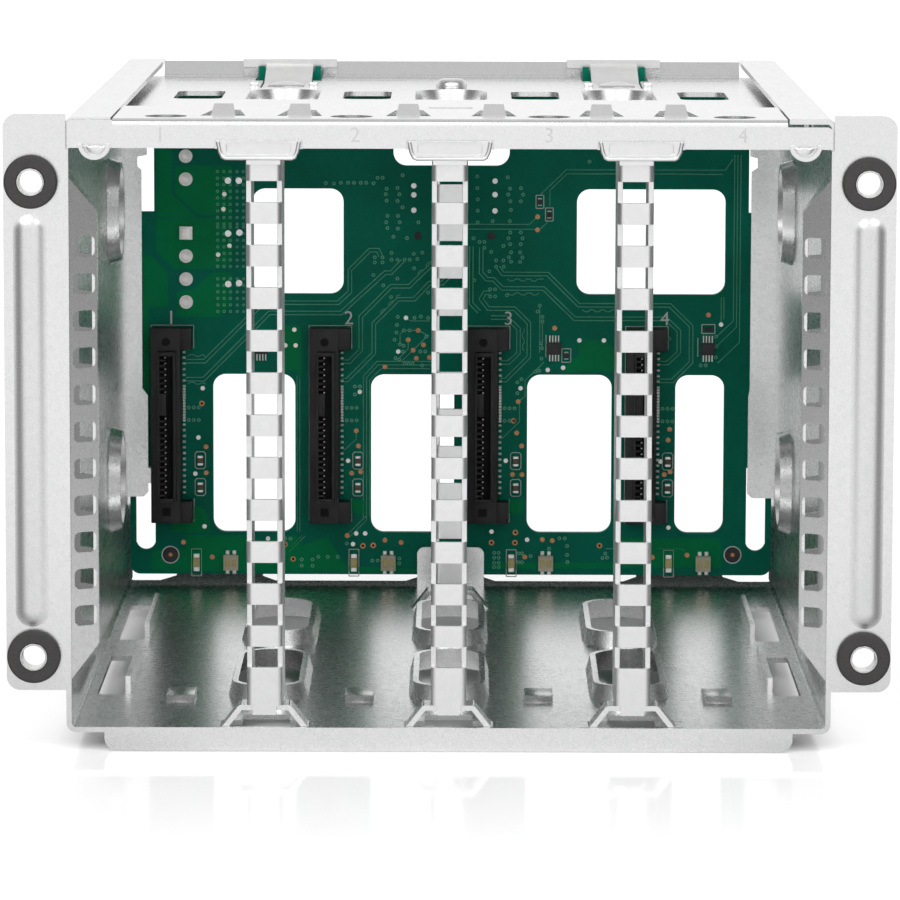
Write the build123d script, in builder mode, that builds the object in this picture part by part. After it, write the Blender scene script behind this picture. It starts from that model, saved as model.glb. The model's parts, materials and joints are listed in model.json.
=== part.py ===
from build123d import *
import os

# Four-bay drive cage: a bent sheet-metal chassis, a pressed top cover, ladder
# dividers, and a backplane board with its connectors, held by two lift-up latches.
# Lengths are millimetres. X runs to the right seen from the front, Z up, and the
# open front looks towards -Y. Depths are measured from the chassis front face.

os.makedirs("parts", exist_ok=True)

# Driving dimensions of the cage
SHEET = 1.0
BAY_PITCH = 35.0
BAYS = 4
SIDE_MARGIN = 2.7
FLOOR_TOP = 4.5
TOP_LEVEL = 120.5
CAGE_DEPTH = 193.0
BEND = 1.8

HALF_WIDTH = BAY_PITCH * BAYS / 2 + SIDE_MARGIN
INNER_X = HALF_WIDTH - SHEET
FLOOR_UNDER = FLOOR_TOP - SHEET
BAY_CENTRES = [BAY_PITCH * (i - (BAYS - 1) / 2) for i in range(BAYS)]
DIVIDER_XS = [BAY_PITCH * (i - BAYS / 2) for i in range(1, BAYS)]
RUNNING_GAP = 0.3
SEAT_GAP = 0.2

# Ears and their grommets
EAR_EDGE_X = 84.0
EAR_LOW = 11.6
EAR_HIGH = 121.2
EAR_CORNER = 2.6
EAR_HOLE_X = 78.75
EAR_HOLE_LOW = 18.2
EAR_HOLE_HIGH = 108.5
EAR_HOLE_R = 3.6
BEAD_X = 79.3
BEAD_WIDTH = 6.5
BEAD_LOW = 24.3
BEAD_HIGH = 102.2
BEAD_RISE = 1.0
GROMMET_R = 5.05
GROMMET_FRONT = 1.8
GROMMET_BACK = 1.6
SLEEVE_R = 2.6
SLEEVE_BORE_R = 2.25
SLEEVE_PROUD = 0.15

FRONT_Y = -(CAGE_DEPTH - GROMMET_FRONT - SLEEVE_PROUD) / 2

# Top flanges and the front lip of the floor
FLANGE_EDGE_X = 63.8
FLOOR_LIP_X = 65.5
LIP_CORNER = 2.4
FLOOR_FRONT_X = 70.4

# Pressed ridges of the side walls, the half posts of the outer bays
RIDGE_RISE = 5.0
RIDGE_START = 1.6
RIDGE_CREST_START = 4.6
RIDGE_CREST_END = 7.4
RIDGE_END = 12.0
RIDGE_LOW = 13.5
RIDGE_HIGH = 109.0
RIDGE_TAPER = 6.4
RIDGE_WINDOWS = 11
RIDGE_WINDOW_PITCH = 7.05
RIDGE_WINDOW = 3.9
RIDGE_WINDOW_FIRST = 96.0
RIDGE_WINDOW_CORNER = 1.0

# Round collars of the side walls
WALL_COLLAR_DEPTH = CAGE_DEPTH - 71.0
WALL_COLLAR_ZS = [92.5, 35.5]
WALL_COLLAR_R = 11.2
WALL_COLLAR_RISE = 2.4

# Racetrack runners and guide windows of the floor
RUNNER_ROWS = [51.5, CAGE_DEPTH - 75.7]
RUNNER_LENGTH = 45.0
RUNNER_WIDTH = 14.6
RUNNER_RISE = 3.0
RUNNER_FLARE = 0.6
RUNNER_SHIFT = 0.5
GUIDE_WINDOW_OUT = 69.3
GUIDE_WINDOW_IN = 63.9
GUIDE_LENGTH = 43.0
STOP_WIDTH = 5.3
STOP_DEPTH = 33.3
STOP_LENGTH = 9.0
STOP_RISE = 1.1

# Bridges that carry the divider feet
BRIDGE_HALF_SLOT = 10.0
BRIDGE_HALF_FOOT = 8.1
BRIDGE_HALF_TOP = 4.9
BRIDGE_BEND = 0.9
BRIDGE_TOP = 8.6
BRIDGE_START = 1.3
BRIDGE_LENGTH = 6.0
BRIDGE_SIGHT_HALF = 4.6
BRIDGE_SIGHT_LENGTH = 13.0

# Dividers
POST_WIDTH = 6.8
POST_DEPTH = 16.0
POST_BEND = 1.2
POST_WINDOWS = 12
POST_WINDOW = 4.0
POST_WINDOW_PITCH = 8.06
POST_WINDOW_FIRST = 106.7
POST_WINDOW_CUT = 2.6
POST_TOP = 112.9
POST_FOOT = 6.9
REAR_POST_DEPTH = CAGE_DEPTH - 51.0
HEAD_SHIFT = 0.9
HEAD_WIDE = 15.8
HEAD_NARROW = 13.9
HEAD_LOW = 112.8
HEAD_HIGH = 116.4
HEAD_PROUD = 1.6

# Board and what is on it
BOARD_FRONT = CAGE_DEPTH - 16.0
BOARD_T = 1.6
BOARD_HALF_X = 71.2
BOARD_LOW = 6.9
BOARD_CORNER = 2.2
BOARD_TAB_WIDTH = 13.6
BOARD_TAB_TOP = 119.8
SLOT_HIGH = 31.0
SLOT_LOW = 12.3
CONNECTOR_SHIFT = -13.8
CONNECTOR_LOW = 18.9
CONNECTOR_HIGH = 62.3
CONNECTOR_WIDTH = 6.6
CONNECTOR_TALL = 7.5
END_BLOCK_WIDTH = 2.6
END_BLOCK_TALL = 4.8
CONTACT_PITCH = 1.27
POWER_CONTACTS = 15
SIGNAL_CONTACTS = 7
LED_Z = 9.5
LED_SHIFT = -4.0
DUAL_LED_SHIFT = 3.7

# Top cover
LIP_LOW = 114.85
LIP_HALF_X = 71.9
COVER_TOP = 120.4
COVER_HALF_X = 63.4
RECESS_TOP = 117.4
APRON_END = 57.0
RECESS_START = 62.0
RECESS_END = CAGE_DEPTH - 12.4
HUMP_TOP = 120.6
SHELF_TOP = 119.2
COVER_BEND = 1.3
WELL_DEPTH_MID = CAGE_DEPTH - 76.5
WELL_LENGTH = 41.0
WELL_WIDTH = 16.4
WELL_DROP = 2.8
LATCH_XS = [-35.6, 35.6]
LATCH_NOTCH_WIDTH = 14.4
LATCH_NOTCH_START = CAGE_DEPTH - 52.0
LATCH_NOTCH_END = CAGE_DEPTH - 8.4
LATCH_NOTCH_STEP = CAGE_DEPTH - 27.8
LATCH_SIDE_GAP = 0.3

# Latches
LATCH_SHEET = 0.8
LATCH_WIDTH = 10.3
LATCH_HEAD_WIDTH = 20.6
LATCH_HEAD_START = CAGE_DEPTH - 13.5
LATCH_HEAD_LENGTH = 2.4
LATCH_RAMP_START = CAGE_DEPTH - 29.5
LATCH_HEAD_LOW = 119.5
LATCH_TOP = 121.2
LATCH_CLEAR = 0.8


def front_plane(depth):
    """A plane across the cage, seen from the front: local x is X and local y is Z."""
    return Plane(origin=(0, FRONT_Y + depth, 0), x_dir=(1, 0, 0), z_dir=(0, -1, 0))


def plan_plane(height):
    """A level plane seen from above: local x is X and local y is the depth."""
    return Plane(origin=(0, FRONT_Y, height), x_dir=(1, 0, 0), z_dir=(0, 0, 1))


def side_plane(x):
    """A plane along the cage: local x is the depth and local y is Z."""
    return Plane(origin=(x, FRONT_Y, 0), x_dir=(0, 1, 0), z_dir=(1, 0, 0))


def save(part, name):
    """Label a finished piece and write its file."""
    part.label = name
    export_step(part, "parts/" + name + ".step")


DEEPER = (0, 1, 0)
OUT_BY = 20.0


# Wall ridge: the pressed form, once as its inner face and once a sheet further out
def ridge_form(side, shift):
    """Solid bounded by one face of the ridge, on the side's wall."""
    face_x = INNER_X + shift
    crest_x = face_x - RIDGE_RISE
    with BuildPart() as form:
        with BuildSketch(plan_plane(RIDGE_LOW)):
            with BuildLine():
                Polyline(
                    (side * (face_x + OUT_BY), RIDGE_START),
                    (side * face_x, RIDGE_START),
                    (side * crest_x, RIDGE_CREST_START),
                    (side * crest_x, RIDGE_CREST_END),
                    (side * face_x, RIDGE_END),
                    (side * (face_x + OUT_BY), RIDGE_END),
                    close=True,
                )
            make_face()
        extrude(amount=RIDGE_HIGH - RIDGE_LOW)
        with BuildSketch(front_plane(0)):
            with BuildLine():
                Polyline(
                    (side * (face_x + OUT_BY), RIDGE_LOW),
                    (side * face_x, RIDGE_LOW),
                    (side * crest_x, RIDGE_LOW + RIDGE_TAPER),
                    (side * crest_x, RIDGE_HIGH - RIDGE_TAPER),
                    (side * face_x, RIDGE_HIGH),
                    (side * (face_x + OUT_BY), RIDGE_HIGH),
                    close=True,
                )
            make_face()
        extrude(amount=2 * RIDGE_END, dir=DEEPER, mode=Mode.INTERSECT)
    return form.part


# Chassis: floor, walls, ears and top flanges bent from one sheet
RIDGE_SHELLS = [
    ridge_form(side, 0) - ridge_form(side, SHEET) for side in (-1, 1)
]
RIDGE_VOIDS = [ridge_form(side, 0) for side in (-1, 1)]

with BuildPart() as chassis_shell:
    section_height = TOP_LEVEL - FLOOR_UNDER
    with BuildSketch(front_plane(0)):
        with Locations((0, (TOP_LEVEL + FLOOR_UNDER) / 2)):
            RectangleRounded(2 * HALF_WIDTH, section_height, BEND)
            RectangleRounded(2 * INNER_X, section_height - 2 * SHEET, BEND - SHEET, mode=Mode.SUBTRACT)
        with Locations((0, TOP_LEVEL)):
            Rectangle(2 * FLANGE_EDGE_X, 4 * SHEET, mode=Mode.SUBTRACT)
    extrude(amount=CAGE_DEPTH, dir=DEEPER)

    # Room for the cover's lip at the top front corners
    with BuildSketch(front_plane(0)):
        for side in (-1, 1):
            with Locations((side * (HALF_WIDTH + LIP_HALF_X) / 2, (EAR_HIGH + LIP_LOW) / 2)):
                Rectangle(HALF_WIDTH, EAR_HIGH - LIP_LOW + 2 * RUNNING_GAP)
    extrude(amount=SHEET + RUNNING_GAP, dir=DEEPER, mode=Mode.SUBTRACT)

    # Ears
    with BuildSketch(front_plane(0)):
        for side in (-1, 1):
            with BuildLine():
                inner = side * (LIP_HALF_X + RUNNING_GAP)
                outer = side * EAR_EDGE_X
                FilletPolyline(
                    (inner, EAR_LOW),
                    (outer, EAR_LOW),
                    (outer, EAR_HIGH),
                    (inner, EAR_HIGH),
                    radius=EAR_CORNER,
                )
                Line((inner, EAR_HIGH), (inner, EAR_LOW))
            make_face()
    extrude(amount=SHEET, dir=DEEPER)
    with BuildSketch(front_plane(0)):
        for side in (-1, 1):
            with Locations(
                (side * EAR_HOLE_X, EAR_HOLE_LOW),
                (side * EAR_HOLE_X, EAR_HOLE_HIGH),
            ):
                Circle(EAR_HOLE_R)
            with Locations((side * BEAD_X, (BEAD_LOW + BEAD_HIGH) / 2)):
                SlotOverall(BEAD_HIGH - BEAD_LOW - 2 * SHEET, BEAD_WIDTH - 2 * SHEET, rotation=90)
    extrude(amount=SHEET, dir=DEEPER, mode=Mode.SUBTRACT)

    # Stiffening beads of the ears, raised towards the front
    with BuildSketch(front_plane(SHEET)):
        for side in (-1, 1):
            with Locations((side * BEAD_X, (BEAD_LOW + BEAD_HIGH) / 2)):
                SlotOverall(BEAD_HIGH - BEAD_LOW, BEAD_WIDTH, rotation=90)
    extrude(amount=SHEET + BEAD_RISE, taper=25)
    with BuildSketch(front_plane(SHEET)):
        for side in (-1, 1):
            with Locations((side * BEAD_X, (BEAD_LOW + BEAD_HIGH) / 2)):
                SlotOverall(BEAD_HIGH - BEAD_LOW - 2 * SHEET, BEAD_WIDTH - 2 * SHEET, rotation=90)
    extrude(amount=BEAD_RISE, taper=25, mode=Mode.SUBTRACT)

    # Floor lips at the front and, on the rear tongues, at the back
    with BuildSketch(front_plane(0)):
        with BuildLine():
            FilletPolyline(
                (-FLOOR_LIP_X, FLOOR_TOP - SHEET / 2),
                (-FLOOR_LIP_X, 0),
                (FLOOR_LIP_X, 0),
                (FLOOR_LIP_X, FLOOR_TOP - SHEET / 2),
                radius=LIP_CORNER,
            )
            Line((FLOOR_LIP_X, FLOOR_TOP - SHEET / 2), (-FLOOR_LIP_X, FLOOR_TOP - SHEET / 2))
        make_face()
    extrude(amount=SHEET, dir=DEEPER)
    TONGUES = [(-52.0, 9.7), (0.0, 6.8), (51.5, 9.7)]
    REAR_CUT_DEPTH = CAGE_DEPTH - 9.7
    REAR_TAPER_WIDE = 3.2
    REAR_TAPER_LONG = 7.0
    with BuildSketch(front_plane(CAGE_DEPTH - SHEET)):
        for x, half in TONGUES:
            with Locations((x, FLOOR_UNDER / 2)):
                Rectangle(2 * half, FLOOR_UNDER)
    extrude(amount=SHEET, dir=DEEPER)

    # Cut-outs of the floor's rear edge, with a slope beside each tongue
    edges_x = [-INNER_X] + [x + end * half for x, half in TONGUES for end in (-1, 1)] + [INNER_X]
    with BuildSketch(plan_plane(FLOOR_UNDER - SHEET)):
        for left, right in zip(edges_x[0::2], edges_x[1::2]):
            corners = [(left, CAGE_DEPTH + SHEET)]
            if left > -INNER_X:
                corners.append((left, REAR_CUT_DEPTH + REAR_TAPER_LONG))
                corners.append((left + REAR_TAPER_WIDE, REAR_CUT_DEPTH))
            else:
                corners.append((left, REAR_CUT_DEPTH))
            if right < INNER_X:
                corners.append((right - REAR_TAPER_WIDE, REAR_CUT_DEPTH))
                corners.append((right, REAR_CUT_DEPTH + REAR_TAPER_LONG))
            else:
                corners.append((right, REAR_CUT_DEPTH))
            corners.append((right, CAGE_DEPTH + SHEET))
            with BuildLine():
                Polyline(*corners, close=True)
            make_face()
    extrude(amount=3 * SHEET, mode=Mode.SUBTRACT)

    # Side ridges with their ladder of windows
    for shell, void in zip(RIDGE_SHELLS, RIDGE_VOIDS):
        add(void, mode=Mode.SUBTRACT)
        add(shell)
    with BuildSketch(front_plane(0)):
        for side in (-1, 1):
            window_x = side * (INNER_X - RIDGE_RISE / 2 - 0.1)
            for i in range(RIDGE_WINDOWS):
                with Locations((window_x, RIDGE_WINDOW_FIRST - i * RIDGE_WINDOW_PITCH)):
                    RectangleRounded(RIDGE_RISE - SHEET, RIDGE_WINDOW, RIDGE_WINDOW_CORNER)
    extrude(amount=RIDGE_CREST_START + 0.4, dir=DEEPER, mode=Mode.SUBTRACT)

    # Round collars of the walls, drawn inwards
    for side in (-1, 1):
        wall_plane = Plane(origin=(side * INNER_X, FRONT_Y, 0), x_dir=(0, 1, 0), z_dir=(-side, 0, 0))
        collar_spots = [(WALL_COLLAR_DEPTH, -side * z) for z in WALL_COLLAR_ZS]
        with BuildSketch(wall_plane):
            with Locations(*collar_spots):
                Circle(WALL_COLLAR_R)
        extrude(amount=WALL_COLLAR_RISE, taper=20)
        with BuildSketch(wall_plane.offset(-2 * SHEET)):
            with Locations(*collar_spots):
                Circle(WALL_COLLAR_R - 0.4)
        extrude(amount=WALL_COLLAR_RISE + 4 * SHEET, taper=20, mode=Mode.SUBTRACT)

    # Racetrack runners, drawn up from the floor
    runner_xs = [x + RUNNER_SHIFT * ((x > 0) - (x < 0)) for x in DIVIDER_XS]
    runner_spots = [(x, depth) for x in runner_xs for depth in RUNNER_ROWS]
    with BuildSketch(plan_plane(FLOOR_TOP)):
        with Locations(*runner_spots):
            SlotOverall(RUNNER_LENGTH + 2 * RUNNER_FLARE, RUNNER_WIDTH + 2 * RUNNER_FLARE, rotation=90)
    extrude(amount=RUNNER_RISE, taper=15)
    with BuildSketch(plan_plane(FLOOR_UNDER - SHEET)):
        with Locations(*runner_spots):
            SlotOverall(RUNNER_LENGTH, RUNNER_WIDTH, rotation=90)
    extrude(amount=RUNNER_RISE + 3 * SHEET, taper=15, mode=Mode.SUBTRACT)

    # Guide windows beside the walls, each with an upright flap
    guide_mid = (GUIDE_WINDOW_OUT + GUIDE_WINDOW_IN) / 2
    guide_spots = [(side * guide_mid, depth + 7.0) for side in (-1, 1) for depth in RUNNER_ROWS]
    with BuildSketch(plan_plane(FLOOR_UNDER - SHEET)):
        with Locations(*guide_spots):
            Rectangle(GUIDE_WINDOW_OUT - GUIDE_WINDOW_IN, GUIDE_LENGTH + 2)
    extrude(amount=3 * SHEET, mode=Mode.SUBTRACT)
    flap_x = GUIDE_WINDOW_IN - SHEET / 2
    flap_spots = [(side * flap_x, depth + 8.0) for side in (-1, 1) for depth in RUNNER_ROWS]
    with BuildSketch(plan_plane(FLOOR_UNDER)):
        with Locations(*flap_spots):
            Rectangle(SHEET, GUIDE_LENGTH - 3)
    extrude(amount=RUNNER_RISE + SHEET)

    # One stop per bay
    with BuildSketch(plan_plane(FLOOR_TOP)):
        with Locations(*[(x, STOP_DEPTH) for x in BAY_CENTRES]):
            Rectangle(STOP_WIDTH, STOP_LENGTH)
    extrude(amount=STOP_RISE, taper=8)

    # Bridges for the divider feet, lanced out of the floor
    bridge_spots = [(x, BRIDGE_START) for x in DIVIDER_XS] + [(0, REAR_POST_DEPTH + BRIDGE_START)]
    with BuildSketch(plan_plane(FLOOR_UNDER - SHEET)):
        with Locations(*[(x, depth + BRIDGE_LENGTH / 2) for x, depth in bridge_spots]):
            Rectangle(2 * BRIDGE_HALF_SLOT, BRIDGE_LENGTH + 2 * RUNNING_GAP)
        with Locations(*[(x, depth - RUNNING_GAP + BRIDGE_SIGHT_LENGTH / 2) for x, depth in bridge_spots]):
            Rectangle(2 * BRIDGE_SIGHT_HALF, BRIDGE_SIGHT_LENGTH)
    extrude(amount=3 * SHEET, mode=Mode.SUBTRACT)
    for x, depth in bridge_spots:
        with BuildSketch(front_plane(depth)):
            with BuildLine():
                bridge_line = FilletPolyline(
                    (x - BRIDGE_HALF_SLOT - SHEET, FLOOR_TOP),
                    (x - BRIDGE_HALF_FOOT, FLOOR_TOP),
                    (x - BRIDGE_HALF_TOP, BRIDGE_TOP),
                    (x + BRIDGE_HALF_TOP, BRIDGE_TOP),
                    (x + BRIDGE_HALF_FOOT, FLOOR_TOP),
                    (x + BRIDGE_HALF_SLOT + SHEET, FLOOR_TOP),
                    radius=BRIDGE_BEND,
                )
                offset(bridge_line, amount=SHEET, side=Side.RIGHT)
            make_face()
        extrude(amount=BRIDGE_LENGTH, dir=DEEPER)

    # Strips in front of the board's side edges, with the hooks that carry it
    STRIP_LOW = 24.4
    STRIP_HIGH = 102.1
    STRIP_STEP = 47.0
    STRIP_NOTCH_LOW = 97.0
    STRIP_NOTCH_HIGH = 99.9
    STRIP_REACH = {-1: (3.4, 4.6, 3.0), 1: (5.6, 5.9, 4.8)}
    HOOK_LOW = 27.4
    HOOK_WIDTH = 2.8
    HOOK_UP = 3.4
    strip_depth = BOARD_FRONT - RUNNING_GAP - SHEET
    for side in (-1, 1):
        reach, low_reach, notch_reach = STRIP_REACH[side]
        with BuildSketch(front_plane(strip_depth)):
            with BuildLine():
                Polyline(
                    (side * (INNER_X + SHEET / 2), STRIP_LOW),
                    (side * (INNER_X - low_reach + 1), STRIP_LOW),
                    (side * (INNER_X - low_reach), STRIP_LOW + 1),
                    (side * (INNER_X - low_reach), STRIP_STEP),
                    (side * (INNER_X - reach), STRIP_STEP + 1.6),
                    (side * (INNER_X - reach), STRIP_NOTCH_LOW),
                    (side * (INNER_X - notch_reach + 0.5), STRIP_NOTCH_LOW + 0.8),
                    (side * (INNER_X - notch_reach + 0.5), STRIP_NOTCH_HIGH),
                    (side * (INNER_X - low_reach), STRIP_NOTCH_HIGH + 0.4),
                    (side * (INNER_X - low_reach), STRIP_HIGH),
                    (side * (INNER_X + SHEET / 2), STRIP_HIGH),
                    close=True,
                )
            make_face()
        extrude(amount=SHEET, dir=DEEPER)
        hook_x = side * (INNER_X - HOOK_WIDTH / 2 - 2.4)
        hook_depth = BOARD_FRONT + BOARD_T + RUNNING_GAP + SHEET
        with BuildSketch(front_plane(strip_depth)):
            with Locations((hook_x, (HOOK_LOW + SLOT_HIGH - SEAT_GAP) / 2)):
                Rectangle(HOOK_WIDTH, SLOT_HIGH - SEAT_GAP - HOOK_LOW)
        extrude(amount=hook_depth - strip_depth, dir=DEEPER)
        with BuildSketch(front_plane(hook_depth - SHEET)):
            with Locations((hook_x, (HOOK_LOW + SLOT_HIGH + HOOK_UP) / 2)):
                Rectangle(HOOK_WIDTH, SLOT_HIGH + HOOK_UP - HOOK_LOW)
        extrude(amount=SHEET, dir=DEEPER)

    # Upright tab that backs the board's lower middle
    SUPPORT_HALF = 7.4
    SUPPORT_HIGH = 13.2
    with BuildSketch(front_plane(strip_depth)):
        with BuildLine():
            FilletPolyline(
                (-SUPPORT_HALF, FLOOR_UNDER),
                (-SUPPORT_HALF, SUPPORT_HIGH),
                (SUPPORT_HALF, SUPPORT_HIGH),
                (SUPPORT_HALF, FLOOR_UNDER),
                radius=1.6,
            )
            Line((SUPPORT_HALF, FLOOR_UNDER), (-SUPPORT_HALF, FLOOR_UNDER))
        make_face()
    extrude(amount=SHEET, dir=DEEPER)
save(chassis_shell.part, "chassis_shell")


# Top cover: one pressed sheet with a front lip, a recess and a rear rail
LIP_STEP_X = 64.0
LIP_STEP = 1.35
REAR_LIP_DEPTH = CAGE_DEPTH - 3.4
REAR_LIP_LOW = 112.5
SIDE_STRIP_LOW = 109.0
FRONT_HOLE_XS = [-53.7, -18.6, 18.7, 53.8]
FRONT_HOLE_DEPTH = 6.4
FRONT_HOLE_R = 4.0
LANCE_XS = [-43.0, -28.5, -7.9, 8.3, 28.7, 42.8]
LANCE_FRONT = 8.6
LANCE_REAR = 25.5
LANCE_WIDE = 8.6
LANCE_NARROW = 5.2
LANCE_TAB_WIDE = 5.0
LANCE_TAB_NARROW = 3.6
LANCE_TAB_LENGTH = 5.2
LANCE_RISE = 2.0
BAY_WINDOW_DEPTH = WELL_DEPTH_MID
BAY_WINDOW_LENGTH = 25.0
BAY_WINDOW_WIDTH = 10.0
REAR_SLOT_DEPTH = CAGE_DEPTH - 27.0
REAR_SLOT_LENGTH = 15.0
REAR_SLOT_WIDTH = 1.0
LUG_X = 66.8
LUG_R = 3.0


def lance_tab(x):
    """One lifted tab of the cover, narrower towards its free end."""
    tab_rear = LANCE_FRONT + LANCE_TAB_LENGTH
    with BuildPart() as tab:
        with BuildSketch(side_plane(x - LANCE_TAB_WIDE / 2)):
            with BuildLine():
                Polyline(
                    (LANCE_FRONT - 0.3, COVER_TOP),
                    (LANCE_FRONT + 0.9, COVER_TOP + 0.1),
                    (tab_rear - 0.3, COVER_TOP + LANCE_RISE),
                    (tab_rear, COVER_TOP + LANCE_RISE - 0.9),
                    (LANCE_FRONT + 1.2, COVER_TOP - SHEET),
                    (LANCE_FRONT - 0.3, COVER_TOP - SHEET),
                    close=True,
                )
            make_face()
        extrude(amount=LANCE_TAB_WIDE)
        with BuildSketch(plan_plane(COVER_TOP - 2 * SHEET)):
            with BuildLine():
                Polyline(
                    (x - LANCE_TAB_WIDE / 2, LANCE_FRONT - SHEET),
                    (x + LANCE_TAB_WIDE / 2, LANCE_FRONT - SHEET),
                    (x + LANCE_TAB_NARROW / 2, tab_rear),
                    (x - LANCE_TAB_NARROW / 2, tab_rear),
                    close=True,
                )
            make_face()
        extrude(amount=4 * SHEET + LANCE_RISE, mode=Mode.INTERSECT)
    return tab.part


with BuildPart() as top_cover:
    with BuildSketch(side_plane(-COVER_HALF_X)):
        with BuildLine():
            cover_line = FilletPolyline(
                (0, LIP_LOW),
                (0, COVER_TOP),
                (APRON_END, COVER_TOP),
                (RECESS_START, RECESS_TOP),
                (RECESS_END, RECESS_TOP),
                (RECESS_END + 2.6, HUMP_TOP),
                (RECESS_END + 3.4, HUMP_TOP),
                (RECESS_END + 4.4, SHELF_TOP),
                (REAR_LIP_DEPTH, SHELF_TOP),
                (REAR_LIP_DEPTH, REAR_LIP_LOW),
                radius=[COVER_BEND, COVER_BEND, COVER_BEND, 1.0, 0.3, 0.3, 0.3, COVER_BEND],
            )
            offset(cover_line, amount=SHEET, side=Side.RIGHT)
        make_face()
    extrude(amount=2 * COVER_HALF_X)

    # Corner cut-outs of the front portion, beside the flanges
    with BuildSketch(plan_plane(RECESS_TOP - 2 * SHEET)):
        for side in (-1, 1):
            with Locations((side * (COVER_HALF_X - 3.4), 49.0)):
                Rectangle(6.8 + 2 * SHEET, 26.0)
    extrude(amount=6 * SHEET, mode=Mode.SUBTRACT)

    # Front lip over the whole mouth
    with BuildSketch(front_plane(0)):
        with BuildLine():
            FilletPolyline(
                (-LIP_HALF_X, LIP_LOW),
                (-LIP_HALF_X, COVER_TOP - 0.3),
                (-COVER_HALF_X, COVER_TOP - 0.3),
                radius=0.8,
            )
            Line((-COVER_HALF_X, COVER_TOP - 0.3), (-COVER_HALF_X, LIP_LOW))
            Line((-COVER_HALF_X, LIP_LOW), (-LIP_HALF_X, LIP_LOW))
        make_face()
        with BuildLine():
            FilletPolyline(
                (LIP_HALF_X, LIP_LOW),
                (LIP_HALF_X, COVER_TOP - LIP_STEP),
                (COVER_HALF_X, COVER_TOP - LIP_STEP),
                radius=1.1,
            )
            Line((COVER_HALF_X, COVER_TOP - LIP_STEP), (COVER_HALF_X, LIP_LOW))
            Line((COVER_HALF_X, LIP_LOW), (LIP_HALF_X, LIP_LOW))
        make_face()
    extrude(amount=SHEET, dir=DEEPER)

    # Strips that run under the flanges, with edges turned down along the walls
    strip_half = INNER_X - RUNNING_GAP
    with BuildSketch(plan_plane(RECESS_TOP - SHEET)):
        for side in (-1, 1):
            with Locations((side * (COVER_HALF_X + strip_half - SHEET) / 2, (RECESS_START + RECESS_END) / 2)):
                Rectangle(strip_half - COVER_HALF_X + SHEET, RECESS_END - RECESS_START - 2 * SHEET)
    extrude(amount=SHEET)
    with BuildSketch(plan_plane(SIDE_STRIP_LOW)):
        for side in (-1, 1):
            with Locations((side * (strip_half - SHEET / 2), (RECESS_START + RECESS_END) / 2)):
                Rectangle(SHEET, RECESS_END - RECESS_START - 2 * SHEET)
    extrude(amount=RECESS_TOP - SIDE_STRIP_LOW)

    # Notches of the lip over the divider heads and the end lugs
    head_xs = [x + HEAD_SHIFT * (x > 0) - HEAD_SHIFT * (x < 0) for x in DIVIDER_XS]
    with BuildSketch(front_plane(-SHEET)):
        with Locations(*[(x, (LIP_LOW + HEAD_HIGH) / 2) for x in head_xs]):
            Rectangle(HEAD_WIDE + 2 * RUNNING_GAP, HEAD_HIGH - LIP_LOW + 2 * RUNNING_GAP)
    extrude(amount=4 * SHEET, dir=DEEPER, mode=Mode.SUBTRACT)

    # Half-round dished lugs hanging at the lip's ends
    with BuildSketch(front_plane(-0.8)):
        for side in (-1, 1):
            with Locations((side * LUG_X, LIP_LOW + 0.8)):
                Circle(LUG_R)
            with Locations((side * LUG_X, LIP_LOW + 0.8 + LUG_R)):
                Rectangle(3 * LUG_R, 2 * LUG_R, mode=Mode.SUBTRACT)
    extrude(amount=0.8 + SHEET, dir=DEEPER)
    with BuildSketch(front_plane(-0.8)):
        for side in (-1, 1):
            with Locations((side * LUG_X, LIP_LOW + 0.8)):
                Circle(LUG_R - 0.7)
            with Locations((side * LUG_X, LIP_LOW + 0.8 + LUG_R)):
                Rectangle(3 * LUG_R, 2 * LUG_R, mode=Mode.SUBTRACT)
    extrude(amount=1.0, dir=DEEPER, mode=Mode.SUBTRACT)

    # Round holes, lanced windows and the oval near the front
    with BuildSketch(plan_plane(RECESS_TOP)):
        with Locations(*[(x, FRONT_HOLE_DEPTH + 1) for x in FRONT_HOLE_XS]):
            Circle(FRONT_HOLE_R)
        with Locations((0, 32)):
            SlotOverall(FRONT_HOLE_R * 2.2, 2.2)
        for x in LANCE_XS:
            with BuildLine():
                Polyline(
                    (x - LANCE_WIDE / 2, LANCE_FRONT),
                    (x + LANCE_WIDE / 2, LANCE_FRONT),
                    (x + LANCE_NARROW / 2, LANCE_REAR),
                    (x - LANCE_NARROW / 2, LANCE_REAR),
                    close=True,
                )
            make_face()
    extrude(amount=2 * (COVER_TOP - RECESS_TOP), mode=Mode.SUBTRACT)
    for x in LANCE_XS:
        add(lance_tab(x))

    # Wells of the recess, drawn down into the cage as upper runners
    with BuildSketch(plan_plane(RECESS_TOP - SHEET)):
        with Locations(*[(x, WELL_DEPTH_MID) for x in DIVIDER_XS]):
            SlotOverall(WELL_LENGTH, WELL_WIDTH, rotation=90)
    extrude(amount=-WELL_DROP + SHEET, taper=12)
    with BuildSketch(plan_plane(RECESS_TOP)):
        with Locations(*[(x, WELL_DEPTH_MID) for x in DIVIDER_XS]):
            SlotOverall(WELL_LENGTH - 1.4, WELL_WIDTH - 1.4, rotation=90)
    extrude(amount=-WELL_DROP - SHEET, taper=12, mode=Mode.SUBTRACT)

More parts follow.
